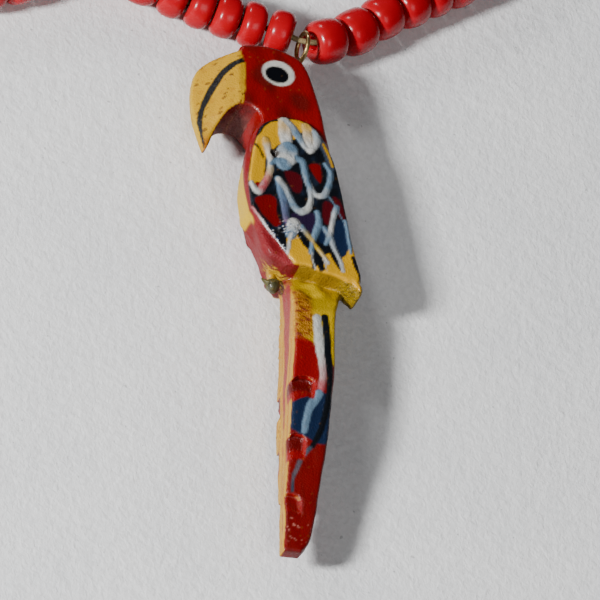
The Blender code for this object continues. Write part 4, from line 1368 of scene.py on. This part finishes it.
def paint_wing(art, on_wing):
    art.lay(BLACK, on_wing, 0.28, 0.3)
    sheen = smoothstep(0.0, 0.9, ripple(art.x, art.y, scale=1.5, seed=5.0))
    art.lay(WING_SHEEN, on_wing * sheen * 0.5)
    for colour, outline in WING_PATCHES:
        art.lay(colour, art.inside(outline) * on_wing, 0.32)
    for colours, line, width, _ in WING_STROKES:
        art.stroke(colours, line, width, on_wing)
    # Glitter in the wet paint, thickest where the strokes meet: blue specks, and white specks that are
    # painted glints.
    glitter = art.near((-0.2, -35.9), (1.9, 1.6), 0.7)
    border = stroke_depth(art.x, art.y, GLITTER_LINE, 1.0)[0]
    glitter = np.maximum(glitter, 0.8 * smoothstep(-0.2, 0.1, border)) * on_wing
    art.lay(GLITTER_BLUE, glitter * art.speckle(0.34, 8.0, 0.10) * 0.8, 0.15)
    art.lay(GLITTER_GLINT_WHITE, glitter * art.speckle(0.30, 13.0, 0.16), 0.12)
    dot = art.near(DOT[0], (DOT[1] * 1.1,) * 2)
    art.lay(DOT_RIM, dot * on_wing * 0.9, 0.3)
    art.lay(DOT_HOLE, art.near(DOT[0], (DOT[1] * 0.6,) * 2) * on_wing * 0.8, 0.3)


def paint_tail(art, side):
    x, y = art.x, art.y
    tail = side * (1.0 - smoothstep(-43.4, -42.8, y))
    streak = smoothstep(-0.2, 0.8, ripple(x * 1.5, y * 0.2, scale=1.2, seed=6.0))
    art.lay(TAIL_RED, tail, 0.38, 0.35)
    art.lay(DEEP_RED, tail * streak * 0.6)
    for colour, outline in TAIL_PATCHES:
        art.lay(colour, art.inside(outline) * tail, 0.36)
    root = tail * smoothstep(-57.0, -55.4, y) * smoothstep(-45.0, -47.0, y) * smoothstep(4.6, 3.4, x)
    art.lay(ROOT_OCHRE, root * 0.8, 0.55, 0.9)
    wrinkles = smoothstep(0.15, 0.5, ripple(x * 0.35, y, scale=0.45, seed=2.0))
    art.lay(ROOT_BROWN, root * wrinkles * 0.8, 0.6)
    slope = tail * smoothstep(0.2, 0.7, under_wing_depth(x, y))
    art.lay(SLOPE_OLIVE, slope * smoothstep(-0.4, 0.6, ripple(x, y, scale=2.4, seed=6.0)) * 0.8, 0.35)
    # A bright spot on the lit ramp under the wing: a painted highlight.
    art.lay(LIT_RAMP_YELLOW, art.near((4.7, -45.4), (1.9, 1.4), 0.5) * tail * 0.9, 0.22)
    for colours, line, width, _ in TAIL_STROKES:
        art.stroke(colours, line, width, tail)
    cut = smoothstep(0.05, 0.2, scoop_depth(x, y)) * smoothstep(1.2, 2.0, np.abs(art.z - MIDDLE_Z))
    art.lay(SCOOP_RED, cut, 0.35, 0.5)
    art.lay(SCOOP_SHADE, cut * smoothstep(0.5, 0.9, scoop_depth(x, y)) * 0.85, 0.35)
    glint = art.near((1.8, -92.6), (2.6, 2.6), 1.4) * art.speckle(0.5, 4.0, 0.3)
    art.lay(GLINT, glint * side * 0.7, 0.25)


def paint(points, normal):
    """Every colour on the carving, in the order it was laid."""
    x, y, z = points.T
    art = Painting(x, y, z, normal)
    art.lay(DEEP_RED, np.ones(len(x)), 0.38, 0.3)
    art.lay(RED, smoothstep(-0.6, 0.6, ripple(x, y, z, 3.2, 2.0)) * 0.8)
    flat = smoothstep(0.50, 0.62, np.abs(normal[:, 2]) + 0.15 * art.wobble)
    downward = np.where(y < -46.0, 0.0, 0.25)
    facing = smoothstep(0.2, 0.5, -normal[:, 0] - downward * normal[:, 1])
    paint_front(art, facing * (1.0 - flat) * (y < -13.5))
    paint_head(art, np.maximum(flat, smoothstep(4.4, 4.8, np.abs(z - MIDDLE_Z))))
    paint_tail(art, np.maximum(flat, (y > -50.0) * (x > 2.2)))
    left, right = (distance_to_outline(x, y, line) for line in wing_lines())
    wing = np.where(z > MIDDLE_Z, left, right)
    # Faces under the wing's tip that look down the bird: yellow darkened to olive, a painted shade.
    shaded_underside = smoothstep(0.2, 0.5, -normal[:, 1]) * (y < -41.5) * (y > -50.0) * (x > 1.5)
    art.lay(UNDERSIDE_SHADE_OLIVE, shaded_underside, 0.5, 0.6)
    lump = smoothstep(8.0, 10.0, x) * smoothstep(-42.5, -43.5, y)
    art.lay(LUMP_OLIVE, lump, 0.4, 1.0)
    art.lay(LUMP_SHADE, lump * smoothstep(0.1, 0.6, ripple(x, y, z, 0.7, 3.0)) * 0.6, 0.5, 1.0)
    # The belly beside the wing is brushed the same pinkish red as its front: red paint lightened as a
    # painted sheen.
    belly = smoothstep(0.0, 0.2, wing) * smoothstep(-27.0, -30.0, y) * (y > -45.0)
    belly = belly * smoothstep(1.6, 0.8, x) * smoothstep(1.5, 0.5, -x - 8.5) * flat
    art.lay(SHEEN_RED, belly * (0.8 + 0.2 * smoothstep(-0.5, 0.7, ripple(x, y * 0.4, z, 1.4, 1.0))), 0.6, 0.5)
    raised = smoothstep(BODY_HALF - 0.15, BODY_HALF + 0.05, np.abs(z - MIDDLE_Z))
    on_wing = (1.0 - smoothstep(-0.1, 0.12, wing)) * raised
    paint_wing(art, on_wing)
    chips = art.speckle(0.6, 11.0, 0.62)
    edges = 0.15 + smoothstep(0.2, 0.8, 1.0 - np.abs(normal).max(axis=1))
    art.lay(WOOD, chips * edges * 0.8, 0.7, 1.0)
    return art


def make_macaw(finish):
    field = make_body_field()
    points, faces = surface_nets(field, LOW, GRID)
    made = add_mesh("carved_macaw_painted", from_head(points), faces)
    made.data.update()
    normal = np.empty(len(points) * 3, np.float32)
    made.data.vertex_normals.foreach_get("vector", normal)
    art = paint(points, normal.reshape(-1, 3))
    set_colours(made, "paint", art.colour)
    set_values(made, "dull", art.dull)
    set_values(made, "rough", art.rough)
    fit(made, finish, "carved_macaw", PENDANT)


# The scene ----------------------------------------------------------------------------------

FLOOR_SIZE = 3.0
FLOOR_DROP = 0.0002  # the floor lies just under the carving, so that no raised paint pokes through


def make_floor(finish):
    half = FLOOR_SIZE / 2
    corners = [(-half, -half, 0.0), (half, -half, 0.0), (half, half, 0.0), (-half, half, 0.0)]
    floor = add_mesh("floor", corners, [(0, 1, 2, 3)], smooth=False)
    floor.location.z = -FLOOR_DROP
    floor.data.materials.append(finish)


def build():
    make_camera()
    strand = Strand()
    make_cord(strand, twisted_cotton())
    make_beads(strand, red_lacquer())
    brass = aged_brass()
    make_screw_eye(brass)
    make_clasp(strand, brass)
    make_foot_peg(olive_paint())
    make_macaw(painted_wood())
    make_floor(paper())
    make_lights()


build()
